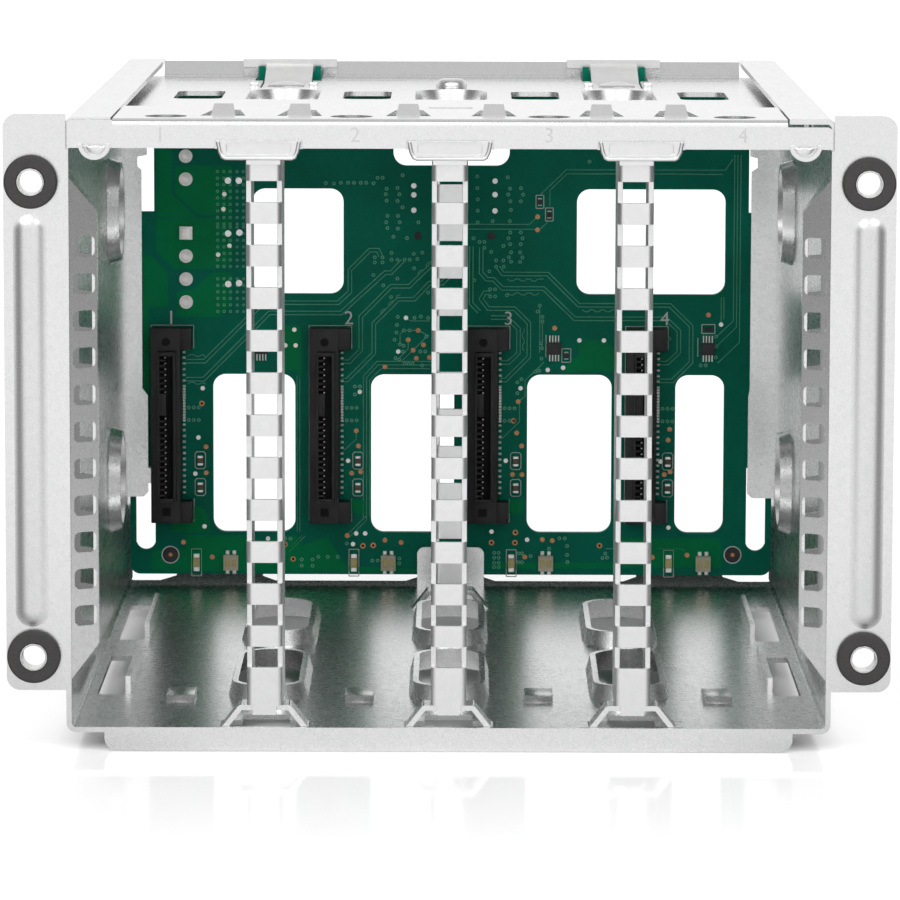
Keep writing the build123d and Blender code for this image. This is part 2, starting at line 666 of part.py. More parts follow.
    # Windows over the bays, rear slots, the rear divider's slot and the latch notches
    with BuildSketch(plan_plane(RECESS_TOP - 2 * SHEET)):
        with Locations(*[(x, BAY_WINDOW_DEPTH) for x in BAY_CENTRES]):
            RectangleRounded(BAY_WINDOW_WIDTH, BAY_WINDOW_LENGTH, 2.5)
        with Locations(*[(x, REAR_SLOT_DEPTH) for x in BAY_CENTRES]):
            Rectangle(REAR_SLOT_LENGTH, REAR_SLOT_WIDTH)
        notch_mid = (LATCH_NOTCH_STEP + LATCH_NOTCH_END) / 2
        with Locations(*[(x, notch_mid) for x in LATCH_XS]):
            Rectangle(LATCH_NOTCH_WIDTH, LATCH_NOTCH_END - LATCH_NOTCH_STEP)
        neck_mid = (LATCH_NOTCH_START + LATCH_NOTCH_STEP) / 2
        with Locations(*[(x, neck_mid) for x in LATCH_XS]):
            Rectangle(LATCH_WIDTH + 2 * LATCH_SIDE_GAP, LATCH_NOTCH_STEP - LATCH_NOTCH_START + 2 * RUNNING_GAP)
        with Locations((0, REAR_POST_DEPTH + SHEET / 2)):
            Rectangle(3.0 + 2 * RUNNING_GAP, SHEET + 2 * RUNNING_GAP)
    extrude(amount=8 * SHEET, mode=Mode.SUBTRACT)
save(top_cover.part, "top_cover")


# Ladder dividers: channels open to the rear, windowed down the front
def ladder_channel(x, depth, top, foot_top):
    """The bare channel of one divider, standing on a bridge."""
    with BuildPart() as channel:
        with BuildSketch(plan_plane(foot_top)):
            with BuildLine():
                FilletPolyline(
                    (x - POST_WIDTH / 2, depth + POST_DEPTH),
                    (x - POST_WIDTH / 2, depth),
                    (x + POST_WIDTH / 2, depth),
                    (x + POST_WIDTH / 2, depth + POST_DEPTH),
                    radius=POST_BEND,
                )
                Polyline(
                    (x + POST_WIDTH / 2, depth + POST_DEPTH),
                    (x + POST_WIDTH / 2 - SHEET, depth + POST_DEPTH),
                    (x + POST_WIDTH / 2 - SHEET, depth + SHEET),
                    (x - POST_WIDTH / 2 + SHEET, depth + SHEET),
                    (x - POST_WIDTH / 2 + SHEET, depth + POST_DEPTH),
                    (x - POST_WIDTH / 2, depth + POST_DEPTH),
                )
            make_face()
        extrude(amount=top - foot_top)
        with BuildSketch(front_plane(depth)):
            for i in range(POST_WINDOWS):
                with Locations((x, POST_WINDOW_FIRST - i * POST_WINDOW_PITCH)):
                    Rectangle(2 * POST_WIDTH, POST_WINDOW)
        extrude(amount=POST_WINDOW_CUT, dir=DEEPER, mode=Mode.SUBTRACT)
    return channel.part


HEAD_NECK_HALF = 3.2
WING_FOOT = BRIDGE_TOP + SEAT_GAP
DIVIDER_NAMES = ["divider_left", "divider_centre", "divider_right"]

for divider_name, x, head_x in zip(DIVIDER_NAMES, DIVIDER_XS, head_xs):
    divider_channel = ladder_channel(x, 0, POST_TOP, WING_FOOT)
    with BuildPart() as divider:
        add(divider_channel)

        # Foot of the web, in front of the bridge
        with BuildSketch(front_plane(0)):
            with Locations((x, (POST_FOOT + WING_FOOT) / 2 + 0.5)):
                Rectangle(POST_WIDTH - 2 * POST_BEND, WING_FOOT - POST_FOOT + 1)
        extrude(amount=SHEET, dir=DEEPER)

        # Dished head in front of the cover's lip, with its shelf back to the web
        with BuildSketch(front_plane(-HEAD_PROUD)):
            with BuildLine():
                FilletPolyline(
                    (head_x - HEAD_WIDE / 2, HEAD_HIGH),
                    (head_x - HEAD_NARROW / 2, HEAD_LOW),
                    (head_x + HEAD_NARROW / 2, HEAD_LOW),
                    (head_x + HEAD_WIDE / 2, HEAD_HIGH),
                    radius=1.0,
                )
                Line((head_x + HEAD_WIDE / 2, HEAD_HIGH), (head_x - HEAD_WIDE / 2, HEAD_HIGH))
            make_face()
        extrude(amount=HEAD_PROUD, dir=DEEPER)
        with BuildSketch(front_plane(-HEAD_PROUD + 0.7)):
            with Locations((head_x, (HEAD_LOW + HEAD_HIGH) / 2 + 0.4)):
                RectangleRounded(HEAD_NARROW - 1.8, HEAD_HIGH - HEAD_LOW - 1.2, 0.9)
        extrude(amount=0.7, mode=Mode.SUBTRACT)
        with BuildSketch(front_plane(-HEAD_PROUD)):
            with Locations((x, POST_TOP - SHEET / 2 + 0.45)):
                Rectangle(2 * HEAD_NECK_HALF, SHEET + 0.9)
        extrude(amount=HEAD_PROUD + SHEET, dir=DEEPER)
    save(divider.part, divider_name)

REAR_POST_TOP = RECESS_TOP - SHEET - SEAT_GAP
rear_channel = ladder_channel(0, REAR_POST_DEPTH, REAR_POST_TOP, WING_FOOT)
with BuildPart() as rear_divider:
    add(rear_channel)
    with BuildSketch(front_plane(REAR_POST_DEPTH)):
        with Locations((0, RECESS_TOP)):
            Rectangle(3.0, 2 * SHEET + 2 * SEAT_GAP)
    extrude(amount=SHEET, dir=DEEPER)
    with BuildSketch(front_plane(REAR_POST_DEPTH)):
        with Locations((0, (POST_FOOT + WING_FOOT) / 2 + 0.5)):
            Rectangle(POST_WIDTH - 2 * POST_BEND, WING_FOOT - POST_FOOT + 1)
    extrude(amount=SHEET, dir=DEEPER)
save(rear_divider.part, "rear_divider")

DOME_R = 3.3
DOME_RISE = 1.9
with BuildPart() as rear_divider_cap:
    with BuildSketch(plan_plane(RECESS_TOP)):
        with Locations((0, REAR_POST_DEPTH + SHEET / 2)):
            Circle(DOME_R)
    extrude(amount=DOME_RISE)
    fillet(rear_divider_cap.faces().sort_by(Axis.Z)[-1].edges(), radius=DOME_RISE * 0.8)
    with BuildSketch(plan_plane(RECESS_TOP)):
        with Locations((0, REAR_POST_DEPTH + SHEET / 2)):
            Rectangle(3.0 + 2 * RUNNING_GAP, SHEET + 2 * RUNNING_GAP)
    extrude(amount=SHEET + SEAT_GAP + RUNNING_GAP, mode=Mode.SUBTRACT)
save(rear_divider_cap.part, "rear_divider_cap")


# Backplane board with its air windows, hook slots and latch tabs
AIR_WINDOWS = [
    (-52.7, -34.5, 16.4, 51.7),
    (-17.7, 0.7, 16.4, 51.7),
    (16.9, 35.6, 16.4, 51.7),
    (49.7, 60.5, 16.4, 51.7),
    (-43.9, -23.8, 69.6, 92.9),
    (27.7, 60.5, 69.6, 92.9),
]
AIR_WINDOW_CORNER = 2.9
BOARD_EDGE = RECESS_TOP - SHEET - RUNNING_GAP
SIDE_NOTCH_X = 65.6
SIDE_NOTCH_LOW = 87.7
TOP_NOTCH_HALF = 12.8
TOP_NOTCH_LOW = 98.0
TAB_DIP = 118.5
LATCH_SLIT_LOW = 115.1
LATCH_SLIT_HIGH = 115.9
SLOT_IN_X = 65.6
SLOT_OUT_X = 69.9

with BuildPart() as backplane_board:
    with BuildSketch(front_plane(BOARD_FRONT)):
        with Locations((0, (BOARD_LOW + BOARD_EDGE) / 2)):
            RectangleRounded(2 * BOARD_HALF_X, BOARD_EDGE - BOARD_LOW, BOARD_CORNER)
        with Locations(*[(x, (BOARD_TAB_TOP + BOARD_EDGE) / 2 - 1) for x in LATCH_XS]):
            Rectangle(BOARD_TAB_WIDTH, BOARD_TAB_TOP - BOARD_EDGE + 2)
        for left, right, low, high in AIR_WINDOWS:
            with Locations(((left + right) / 2, (low + high) / 2)):
                RectangleRounded(right - left, high - low, AIR_WINDOW_CORNER, mode=Mode.SUBTRACT)
        for side in (-1, 1):
            with Locations((side * (SLOT_IN_X + SLOT_OUT_X) / 2, (SLOT_LOW + SLOT_HIGH) / 2)):
                SlotOverall(SLOT_HIGH - SLOT_LOW, SLOT_OUT_X - SLOT_IN_X, rotation=90, mode=Mode.SUBTRACT)
                Rectangle(SLOT_OUT_X - SLOT_IN_X, SLOT_HIGH - SLOT_LOW - 3.0, mode=Mode.SUBTRACT)
            with Locations((side * (SLOT_IN_X + SLOT_OUT_X) / 2, SLOT_HIGH - 2.0)):
                Rectangle(SLOT_OUT_X - SLOT_IN_X, 4.0, mode=Mode.SUBTRACT)
            with Locations((side * (SIDE_NOTCH_X + BOARD_HALF_X + 2) / 2, (SIDE_NOTCH_LOW + BOARD_EDGE + 2) / 2)):
                Rectangle(
                    BOARD_HALF_X + 2 - SIDE_NOTCH_X, BOARD_EDGE + 2 - SIDE_NOTCH_LOW, mode=Mode.SUBTRACT
                )
        with Locations((0, (TOP_NOTCH_LOW + BOARD_EDGE + 4) / 2)):
            RectangleRounded(
                2 * TOP_NOTCH_HALF, BOARD_EDGE + 4 - TOP_NOTCH_LOW, AIR_WINDOW_CORNER, mode=Mode.SUBTRACT
            )
        with Locations(*[(x, (TAB_DIP + BOARD_TAB_TOP) / 2 + 0.5) for x in LATCH_XS]):
            Rectangle(LATCH_WIDTH + 2 * LATCH_SIDE_GAP, BOARD_TAB_TOP - TAB_DIP + 1, mode=Mode.SUBTRACT)
        with Locations(*[(x, (LATCH_SLIT_LOW + LATCH_SLIT_HIGH) / 2) for x in LATCH_XS]):
            Rectangle(BOARD_TAB_WIDTH - 2, LATCH_SLIT_HIGH - LATCH_SLIT_LOW, mode=Mode.SUBTRACT)
    extrude(amount=BOARD_T, dir=DEEPER)
save(backplane_board.part, "backplane_board")


# Drive connectors, one per bay, with a slot for the drive's edge tongue
CONTACT_TOP = 58.6
TAIL_REACH = 1.6
TAIL_WIDTH = 0.5
SLOT_WIDTH = 1.9
TONGUE_WALL = 1.2
CONTACT_ROWS = [CONTACT_TOP - 1.9 - i * CONTACT_PITCH for i in range(SIGNAL_CONTACTS)] + [
    CONTACT_TOP - 16.4 - i * CONTACT_PITCH for i in range(POWER_CONTACTS)
]

for bay, bay_x in enumerate(BAY_CENTRES, start=1):
    left = bay_x + CONNECTOR_SHIFT
    right = left + CONNECTOR_WIDTH
    length = CONNECTOR_HIGH - CONNECTOR_LOW
    middle = (CONNECTOR_HIGH + CONNECTOR_LOW) / 2
    with BuildPart() as drive_connector:
        with BuildSketch(front_plane(BOARD_FRONT)):
            with Locations(((left + right) / 2, middle)):
                Rectangle(CONNECTOR_WIDTH, length)
            for z in (CONNECTOR_LOW + END_BLOCK_TALL / 2, CONNECTOR_HIGH - END_BLOCK_TALL / 2):
                with Locations((right + END_BLOCK_WIDTH / 2 - 0.1, z)):
                    Rectangle(END_BLOCK_WIDTH + 0.2, END_BLOCK_TALL)
        extrude(amount=CONNECTOR_TALL * 0.62)
        with BuildSketch(front_plane(BOARD_FRONT - CONNECTOR_TALL * 0.62)):
            with Locations(((left + right) / 2 + 0.2, middle)):
                Rectangle(3.4, length - 2 * END_BLOCK_TALL)
        extrude(amount=CONNECTOR_TALL * 0.38)
        with BuildSketch(front_plane(BOARD_FRONT - CONNECTOR_TALL)):
            with Locations(((left + right) / 2 + 0.5, middle)):
                Rectangle(SLOT_WIDTH, length - 2 * END_BLOCK_TALL - 2 * TONGUE_WALL)
        extrude(amount=CONNECTOR_TALL * 0.7, dir=DEEPER, mode=Mode.SUBTRACT)
    save(drive_connector.part, "drive_connector_%d" % bay)

    with BuildPart() as connector_tails:
        with BuildSketch(front_plane(BOARD_FRONT)):
            for z in CONTACT_ROWS:
                with Locations((right + TAIL_REACH / 2, z)):
                    Rectangle(TAIL_REACH, TAIL_WIDTH)
        extrude(amount=0.5)
    save(connector_tails.part, "connector_tails_%d" % bay)


# Lamps along the board's lower edge
with BuildPart() as status_lamps:
    with BuildSketch(front_plane(BOARD_FRONT)):
        with Locations(*[(x + LED_SHIFT, LED_Z) for x in BAY_CENTRES]):
            Rectangle(1.5, 3.2)
    extrude(amount=0.7)
save(status_lamps.part, "status_lamps")

with BuildPart() as activity_lamps:
    with BuildSketch(front_plane(BOARD_FRONT)):
        with Locations(*[(x + DUAL_LED_SHIFT, LED_Z) for x in BAY_CENTRES]):
            Rectangle(3.0, 3.2)
    extrude(amount=1.2)
save(activity_lamps.part, "activity_lamps")

# Chips and passives beside the connectors
CHIP_SPOTS = [(-42.0, 57.6), (22.8, 57.6), (56.8, 57.6)]
with BuildPart() as controller_chips:
    with BuildSketch(front_plane(BOARD_FRONT)):
        with Locations(*CHIP_SPOTS):
            Rectangle(3.2, 2.8)
    extrude(amount=1.0)
save(controller_chips.part, "controller_chips")

CAPACITOR_SHIFT = -3.1
CAPACITOR_ZS = [32.4, 26.4]
with BuildPart() as capacitors:
    with BuildSketch(front_plane(BOARD_FRONT)):
        with Locations(*[(x + CAPACITOR_SHIFT, z) for x in BAY_CENTRES for z in CAPACITOR_ZS]):
            Rectangle(1.2, 2.2)
    extrude(amount=0.9)
save(capacitors.part, "capacitors")

RESISTOR_SPOTS = [(25.5, 56.0, 90), (56.9, 62.0, 0), (19.5, 90.1, 90), (21.6, 87.3, 90)]
with BuildPart() as resistors:
    with BuildSketch(front_plane(BOARD_FRONT)):
        for x, z, turn in RESISTOR_SPOTS:
            with Locations((x, z)):
                Rectangle(1.7, 0.9, rotation=turn)
    extrude(amount=0.5)
save(resistors.part, "resistors")


# Power headers and their pins behind the board
POWER_X = -58.6
PIN_PITCH = 5.1
PIN_R = 0.7
PIN_HOLE_R = 0.8
UPPER_PINS = [95.0 + i * PIN_PITCH for i in range(4)]
LOWER_PINS = [67.7 + i * PIN_PITCH for i in range(4)]
HEADER_WIDTH = 7.6
HEADER_TALL = 4.0
board_back = BOARD_FRONT + BOARD_T

for header_name, pin_zs in (("power_header_upper", UPPER_PINS), ("power_header_lower", LOWER_PINS)):
    with BuildPart() as power_header:
        with BuildSketch(front_plane(board_back)):
            with Locations((POWER_X, (pin_zs[0] + pin_zs[-1]) / 2)):
                RectangleRounded(HEADER_WIDTH, 4 * PIN_PITCH, 1.0)
            with Locations(*[(POWER_X, z) for z in pin_zs]):
                Circle(PIN_HOLE_R, mode=Mode.SUBTRACT)
        extrude(amount=HEADER_TALL, dir=DEEPER)
        with BuildSketch(front_plane(board_back + HEADER_TALL)):
            with Locations((POWER_X - HEADER_WIDTH / 2 + 0.6, (pin_zs[0] + pin_zs[-1]) / 2)):
                Rectangle(1.2, 2.6 * PIN_PITCH)
        extrude(amount=6.5, dir=DEEPER)
    save(power_header.part, header_name)

with BuildPart() as power_pins:
    with BuildSketch(front_plane(board_back)):
        with Locations(*[(POWER_X, z) for z in UPPER_PINS + LOWER_PINS]):
            Circle(PIN_R)
    extrude(amount=HEADER_TALL + 6.0, dir=DEEPER)
save(power_pins.part, "power_pins")

# Four-lane signal socket behind the board: metal cage and insert
SOCKET_X = 0.6
SOCKET_Z = 88.6
SOCKET_WIDTH = 19.6
SOCKET_HEIGHT = 9.6
SOCKET_DEPTH = 12.0
with BuildPart() as signal_socket_cage:
    with BuildSketch(front_plane(board_back)):
        with Locations((SOCKET_X, SOCKET_Z)):
            RectangleRounded(SOCKET_WIDTH, SOCKET_HEIGHT, 0.8)
            RectangleRounded(SOCKET_WIDTH - 1.0, SOCKET_HEIGHT - 1.0, 0.4, mode=Mode.SUBTRACT)
    extrude(amount=SOCKET_DEPTH, dir=DEEPER)
save(signal_socket_cage.part, "signal_socket_cage")

with BuildPart() as signal_socket_insert:
    with BuildSketch(front_plane(board_back)):
        with Locations((SOCKET_X, SOCKET_Z)):
            Rectangle(SOCKET_WIDTH - 1.0 - 2 * SEAT_GAP, SOCKET_HEIGHT - 1.0 - 2 * SEAT_GAP)
    extrude(amount=2.5, dir=DEEPER)
    with BuildSketch(front_plane(board_back + 2.5)):
        with Locations((SOCKET_X, SOCKET_Z - 1.9)):
            Rectangle(14.5, 1.6)
    extrude(amount=7.0, dir=DEEPER)
save(signal_socket_insert.part, "signal_socket_insert")


# Rubber grommets of the ears, with a metal sleeve in each
CORNERS = [
    ("top_left", -EAR_HOLE_X, EAR_HOLE_HIGH),
    ("top_right", EAR_HOLE_X, EAR_HOLE_HIGH),
    ("bottom_left", -EAR_HOLE_X, EAR_HOLE_LOW),
    ("bottom_right", EAR_HOLE_X, EAR_HOLE_LOW),
]
NECK_R = EAR_HOLE_R - 0.1
GROMMET_BORE_R = SLEEVE_R + 0.05

for corner, x, z in CORNERS:
    with BuildPart() as grommet:
        with BuildSketch(front_plane(-GROMMET_FRONT)):
            with Locations((x, z)):
                Circle(GROMMET_R)
        extrude(amount=GROMMET_FRONT, dir=DEEPER)
        with BuildSketch(front_plane(0)):
            with Locations((x, z)):
                Circle(NECK_R)
        extrude(amount=SHEET, dir=DEEPER)
        with BuildSketch(front_plane(SHEET)):
            with Locations((x, z)):
                Circle(GROMMET_R)
        extrude(amount=GROMMET_BACK, dir=DEEPER)
        chamfer(grommet.faces().sort_by(Axis.Y)[0].edges(), length=0.35)
        with BuildSketch(front_plane(-GROMMET_FRONT)):
            with Locations((x, z)):
                Circle(GROMMET_BORE_R)
        extrude(amount=GROMMET_FRONT + SHEET + GROMMET_BACK, dir=DEEPER, mode=Mode.SUBTRACT)
    save(grommet.part, "grommet_" + corner)

    with BuildPart() as sleeve:
        with BuildSketch(front_plane(-GROMMET_FRONT - SLEEVE_PROUD)):
            with Locations((x, z)):
                Circle(SLEEVE_R)
                Circle(SLEEVE_BORE_R, mode=Mode.SUBTRACT)
        extrude(amount=GROMMET_FRONT + SHEET + GROMMET_BACK + 2 * SLEEVE_PROUD, dir=DEEPER)
    save(sleeve.part, "sleeve_" + corner)


# Lift-up latches over the board's tabs, each hooked into its notch of the cover
TOE_LENGTH = 3.0
TOE_TOP = RECESS_TOP - SHEET - 0.4
foot_depth = LATCH_NOTCH_START + LATCH_CLEAR
leaf_low = RECESS_TOP - 0.4

for latch_name, x in zip(("board_latch_left", "board_latch_right"), LATCH_XS):
    with BuildPart() as latch:
        with BuildSketch(side_plane(x - LATCH_WIDTH / 2)):
            with BuildLine():
                latch_line = Polyline(
                    (foot_depth - TOE_LENGTH, TOE_TOP),
                    (foot_depth, TOE_TOP),
                    (foot_depth, leaf_low),
                    (LATCH_RAMP_START, leaf_low),
                    (LATCH_HEAD_START + LATCH_SHEET / 2, LATCH_HEAD_LOW + LATCH_SHEET),
                )
                offset(latch_line, amount=LATCH_SHEET, side=Side.RIGHT)
            make_face()
        extrude(amount=LATCH_WIDTH)
        with BuildSketch(front_plane(LATCH_HEAD_START)):
            with Locations((x, (LATCH_TOP + LATCH_HEAD_LOW) / 2)):
                Rectangle(LATCH_HEAD_WIDTH, LATCH_TOP - LATCH_HEAD_LOW)
        extrude(amount=LATCH_HEAD_LENGTH, dir=DEEPER)
    save(latch.part, latch_name)
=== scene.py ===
"""Looks of a four-bay drive cage: galvanised sheet, rubber grommets and a dressed backplane board."""

import logging
import math
from dataclasses import dataclass, field
from enum import Enum
from typing import Callable, Iterable, Sequence

import bmesh
import bpy
from mathutils import Matrix, Vector
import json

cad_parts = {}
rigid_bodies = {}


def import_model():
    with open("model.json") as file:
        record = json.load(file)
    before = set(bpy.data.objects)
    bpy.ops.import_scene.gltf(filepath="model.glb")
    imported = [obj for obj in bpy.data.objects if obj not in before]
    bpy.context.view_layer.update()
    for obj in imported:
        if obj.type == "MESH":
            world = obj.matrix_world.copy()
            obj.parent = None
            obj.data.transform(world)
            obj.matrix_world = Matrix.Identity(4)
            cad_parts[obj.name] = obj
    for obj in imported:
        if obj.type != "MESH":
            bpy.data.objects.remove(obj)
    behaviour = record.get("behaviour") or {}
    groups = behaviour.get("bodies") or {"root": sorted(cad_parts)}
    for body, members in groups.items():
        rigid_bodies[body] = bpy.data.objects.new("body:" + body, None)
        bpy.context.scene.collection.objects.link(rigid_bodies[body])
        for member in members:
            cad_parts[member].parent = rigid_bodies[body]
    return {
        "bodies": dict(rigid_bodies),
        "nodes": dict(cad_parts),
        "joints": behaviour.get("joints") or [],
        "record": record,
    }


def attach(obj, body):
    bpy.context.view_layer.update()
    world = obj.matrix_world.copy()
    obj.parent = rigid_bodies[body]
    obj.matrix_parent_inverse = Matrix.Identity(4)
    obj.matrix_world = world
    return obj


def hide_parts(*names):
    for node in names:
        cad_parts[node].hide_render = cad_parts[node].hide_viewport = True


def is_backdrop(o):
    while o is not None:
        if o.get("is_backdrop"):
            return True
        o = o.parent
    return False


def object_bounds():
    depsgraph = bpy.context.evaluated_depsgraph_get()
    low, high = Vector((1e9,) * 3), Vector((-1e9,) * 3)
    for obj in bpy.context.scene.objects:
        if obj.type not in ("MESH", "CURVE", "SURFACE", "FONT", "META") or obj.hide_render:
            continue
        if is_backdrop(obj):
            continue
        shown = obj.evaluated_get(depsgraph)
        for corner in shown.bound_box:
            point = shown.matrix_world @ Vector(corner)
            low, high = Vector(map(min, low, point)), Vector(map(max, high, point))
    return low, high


LOG = logging.getLogger("drive_cage")

MM = 0.001
FRONT_Y = -95.525
CAGE = "cage"
BOARD_DEPTH = 177.0
BAY_CENTRES = (-52.5, -17.5, 17.5, 52.5)
HEAD_XS = (-35.9, 0.0, 35.9)
LATCH_X = 35.6
CAPACITOR_ZS = (26.4, 32.4)
CAPACITOR_SHIFT = -3.1
LAST_CAPACITOR_SHIFT = -4.4
FORWARD = Vector((0, -1, 0))
UPWARD = Vector((0, 0, 1))

Point = tuple[float, float]
Triple = tuple[float, float, float]
Piece = bpy.types.Object
Socket = bpy.types.NodeSocket


class Side(Enum):
    """The two sides of the cage, as seen from the front."""

    LEFT = -1
    RIGHT = 1


def at(x: float, depth: float, z: float) -> Vector:
    """Return a place in metres from millimetres.

    Args:
        x: Distance to the right of the middle.
        depth: Distance behind the front face.
        z: Height above the lowest face.

    Returns:
        The place in the row frame.
    """
    return Vector((x, FRONT_Y + depth, z)) * MM


def moves(spots: Iterable[Point]) -> list[Vector]:
    """Return the moves in metres from the middle of the front to each spot, across and up."""
    return [Vector((x, 0, z)) * MM for x, z in spots]


@dataclass(frozen=True)
class Viewpoint:
    """Where the camera stands, for the picture and for reading places off it."""

    place: Triple = (2.09, -1019.9, 190.47)
    yaw: float = -0.0019
    pitch: float = 0.1293
    roll: float = 0.0026
    lens: float = 217.6
    sensor: float = 36.0
    picture: float = 900.0

    def axes(self) -> tuple[Vector, Vector, Vector]:
        """Return the directions to the right, up and ahead."""
        level = math.cos(self.pitch)
        forward = Vector((math.sin(self.yaw) * level, math.cos(self.yaw) * level, -math.sin(self.pitch)))
        right = Vector((math.cos(self.yaw), -math.sin(self.yaw), 0))
        up = right.cross(forward)
        turned_right = math.cos(self.roll) * right + math.sin(self.roll) * up
        turned_up = math.cos(self.roll) * up - math.sin(self.roll) * right
        return turned_right, turned_up, forward

    def on_board(self, across: float, down: float) -> Point:
        """Return the place on the board's front that shows at a spot of the picture.

        Args:
            across: Pixels from the picture's left edge.
            down: Pixels from its top edge.

        Returns:
            The place in millimetres, across and up, to the nearest tenth.
        """
        right, up, ahead = self.axes()
        middle = self.picture / 2
        reach = self.picture * self.lens / self.sensor
        ray = ahead + right * ((across - middle) / reach) - up * ((down - middle) / reach)
        share = (BOARD_DEPTH - self.place[1]) / ray.y
        return (round(self.place[0] + share * ray.x, 1), round(self.place[2] + share * ray.z, 1))


VIEW = Viewpoint()


@dataclass(frozen=True)
class Enlargement:
    """A part of the picture as it was enlarged, with places read off in its own pixels."""

    left: float = 0.0
    top: float = 0.0
    zoom: float = 1.0
    start: float = 0.0

    def read(self, spots: Iterable[Point]) -> list[Point]:
        """Return the places on the board for spots read off this enlargement."""
        return [
            VIEW.on_board(self.left + (across - self.start) / self.zoom, self.top + down / self.zoom)
            for across, down in spots
        ]


Readings = tuple[tuple[Enlargement, tuple[Point, ...]], ...]
PICTURE = Enlargement()
FEED_SHEET = Enlargement(150, 150, 6)
SOCKET_SHEET = Enlargement(276, 150, 6, 610)
UPPER_RIGHT_SHEET = Enlargement(464, 150, 5.6)
MIDDLE_SHEET = Enlargement(336, 300, 6, 524)
RIGHT_SHEET = Enlargement(484, 300, 6)
LAST_BAY_SHEET = Enlargement(655, 300, 6, 966)
LOWER_LEFT_SHEET = Enlargement(150, 530, 5.6)
LOWER_RIGHT_SHEET = Enlargement(484, 530, 5.6)


def read_off(readings: Readings) -> list[Point]:
    """Return the places on the board for the spots read off several enlargements."""
    return [place for sheet, spots in readings for place in sheet.read(spots)]


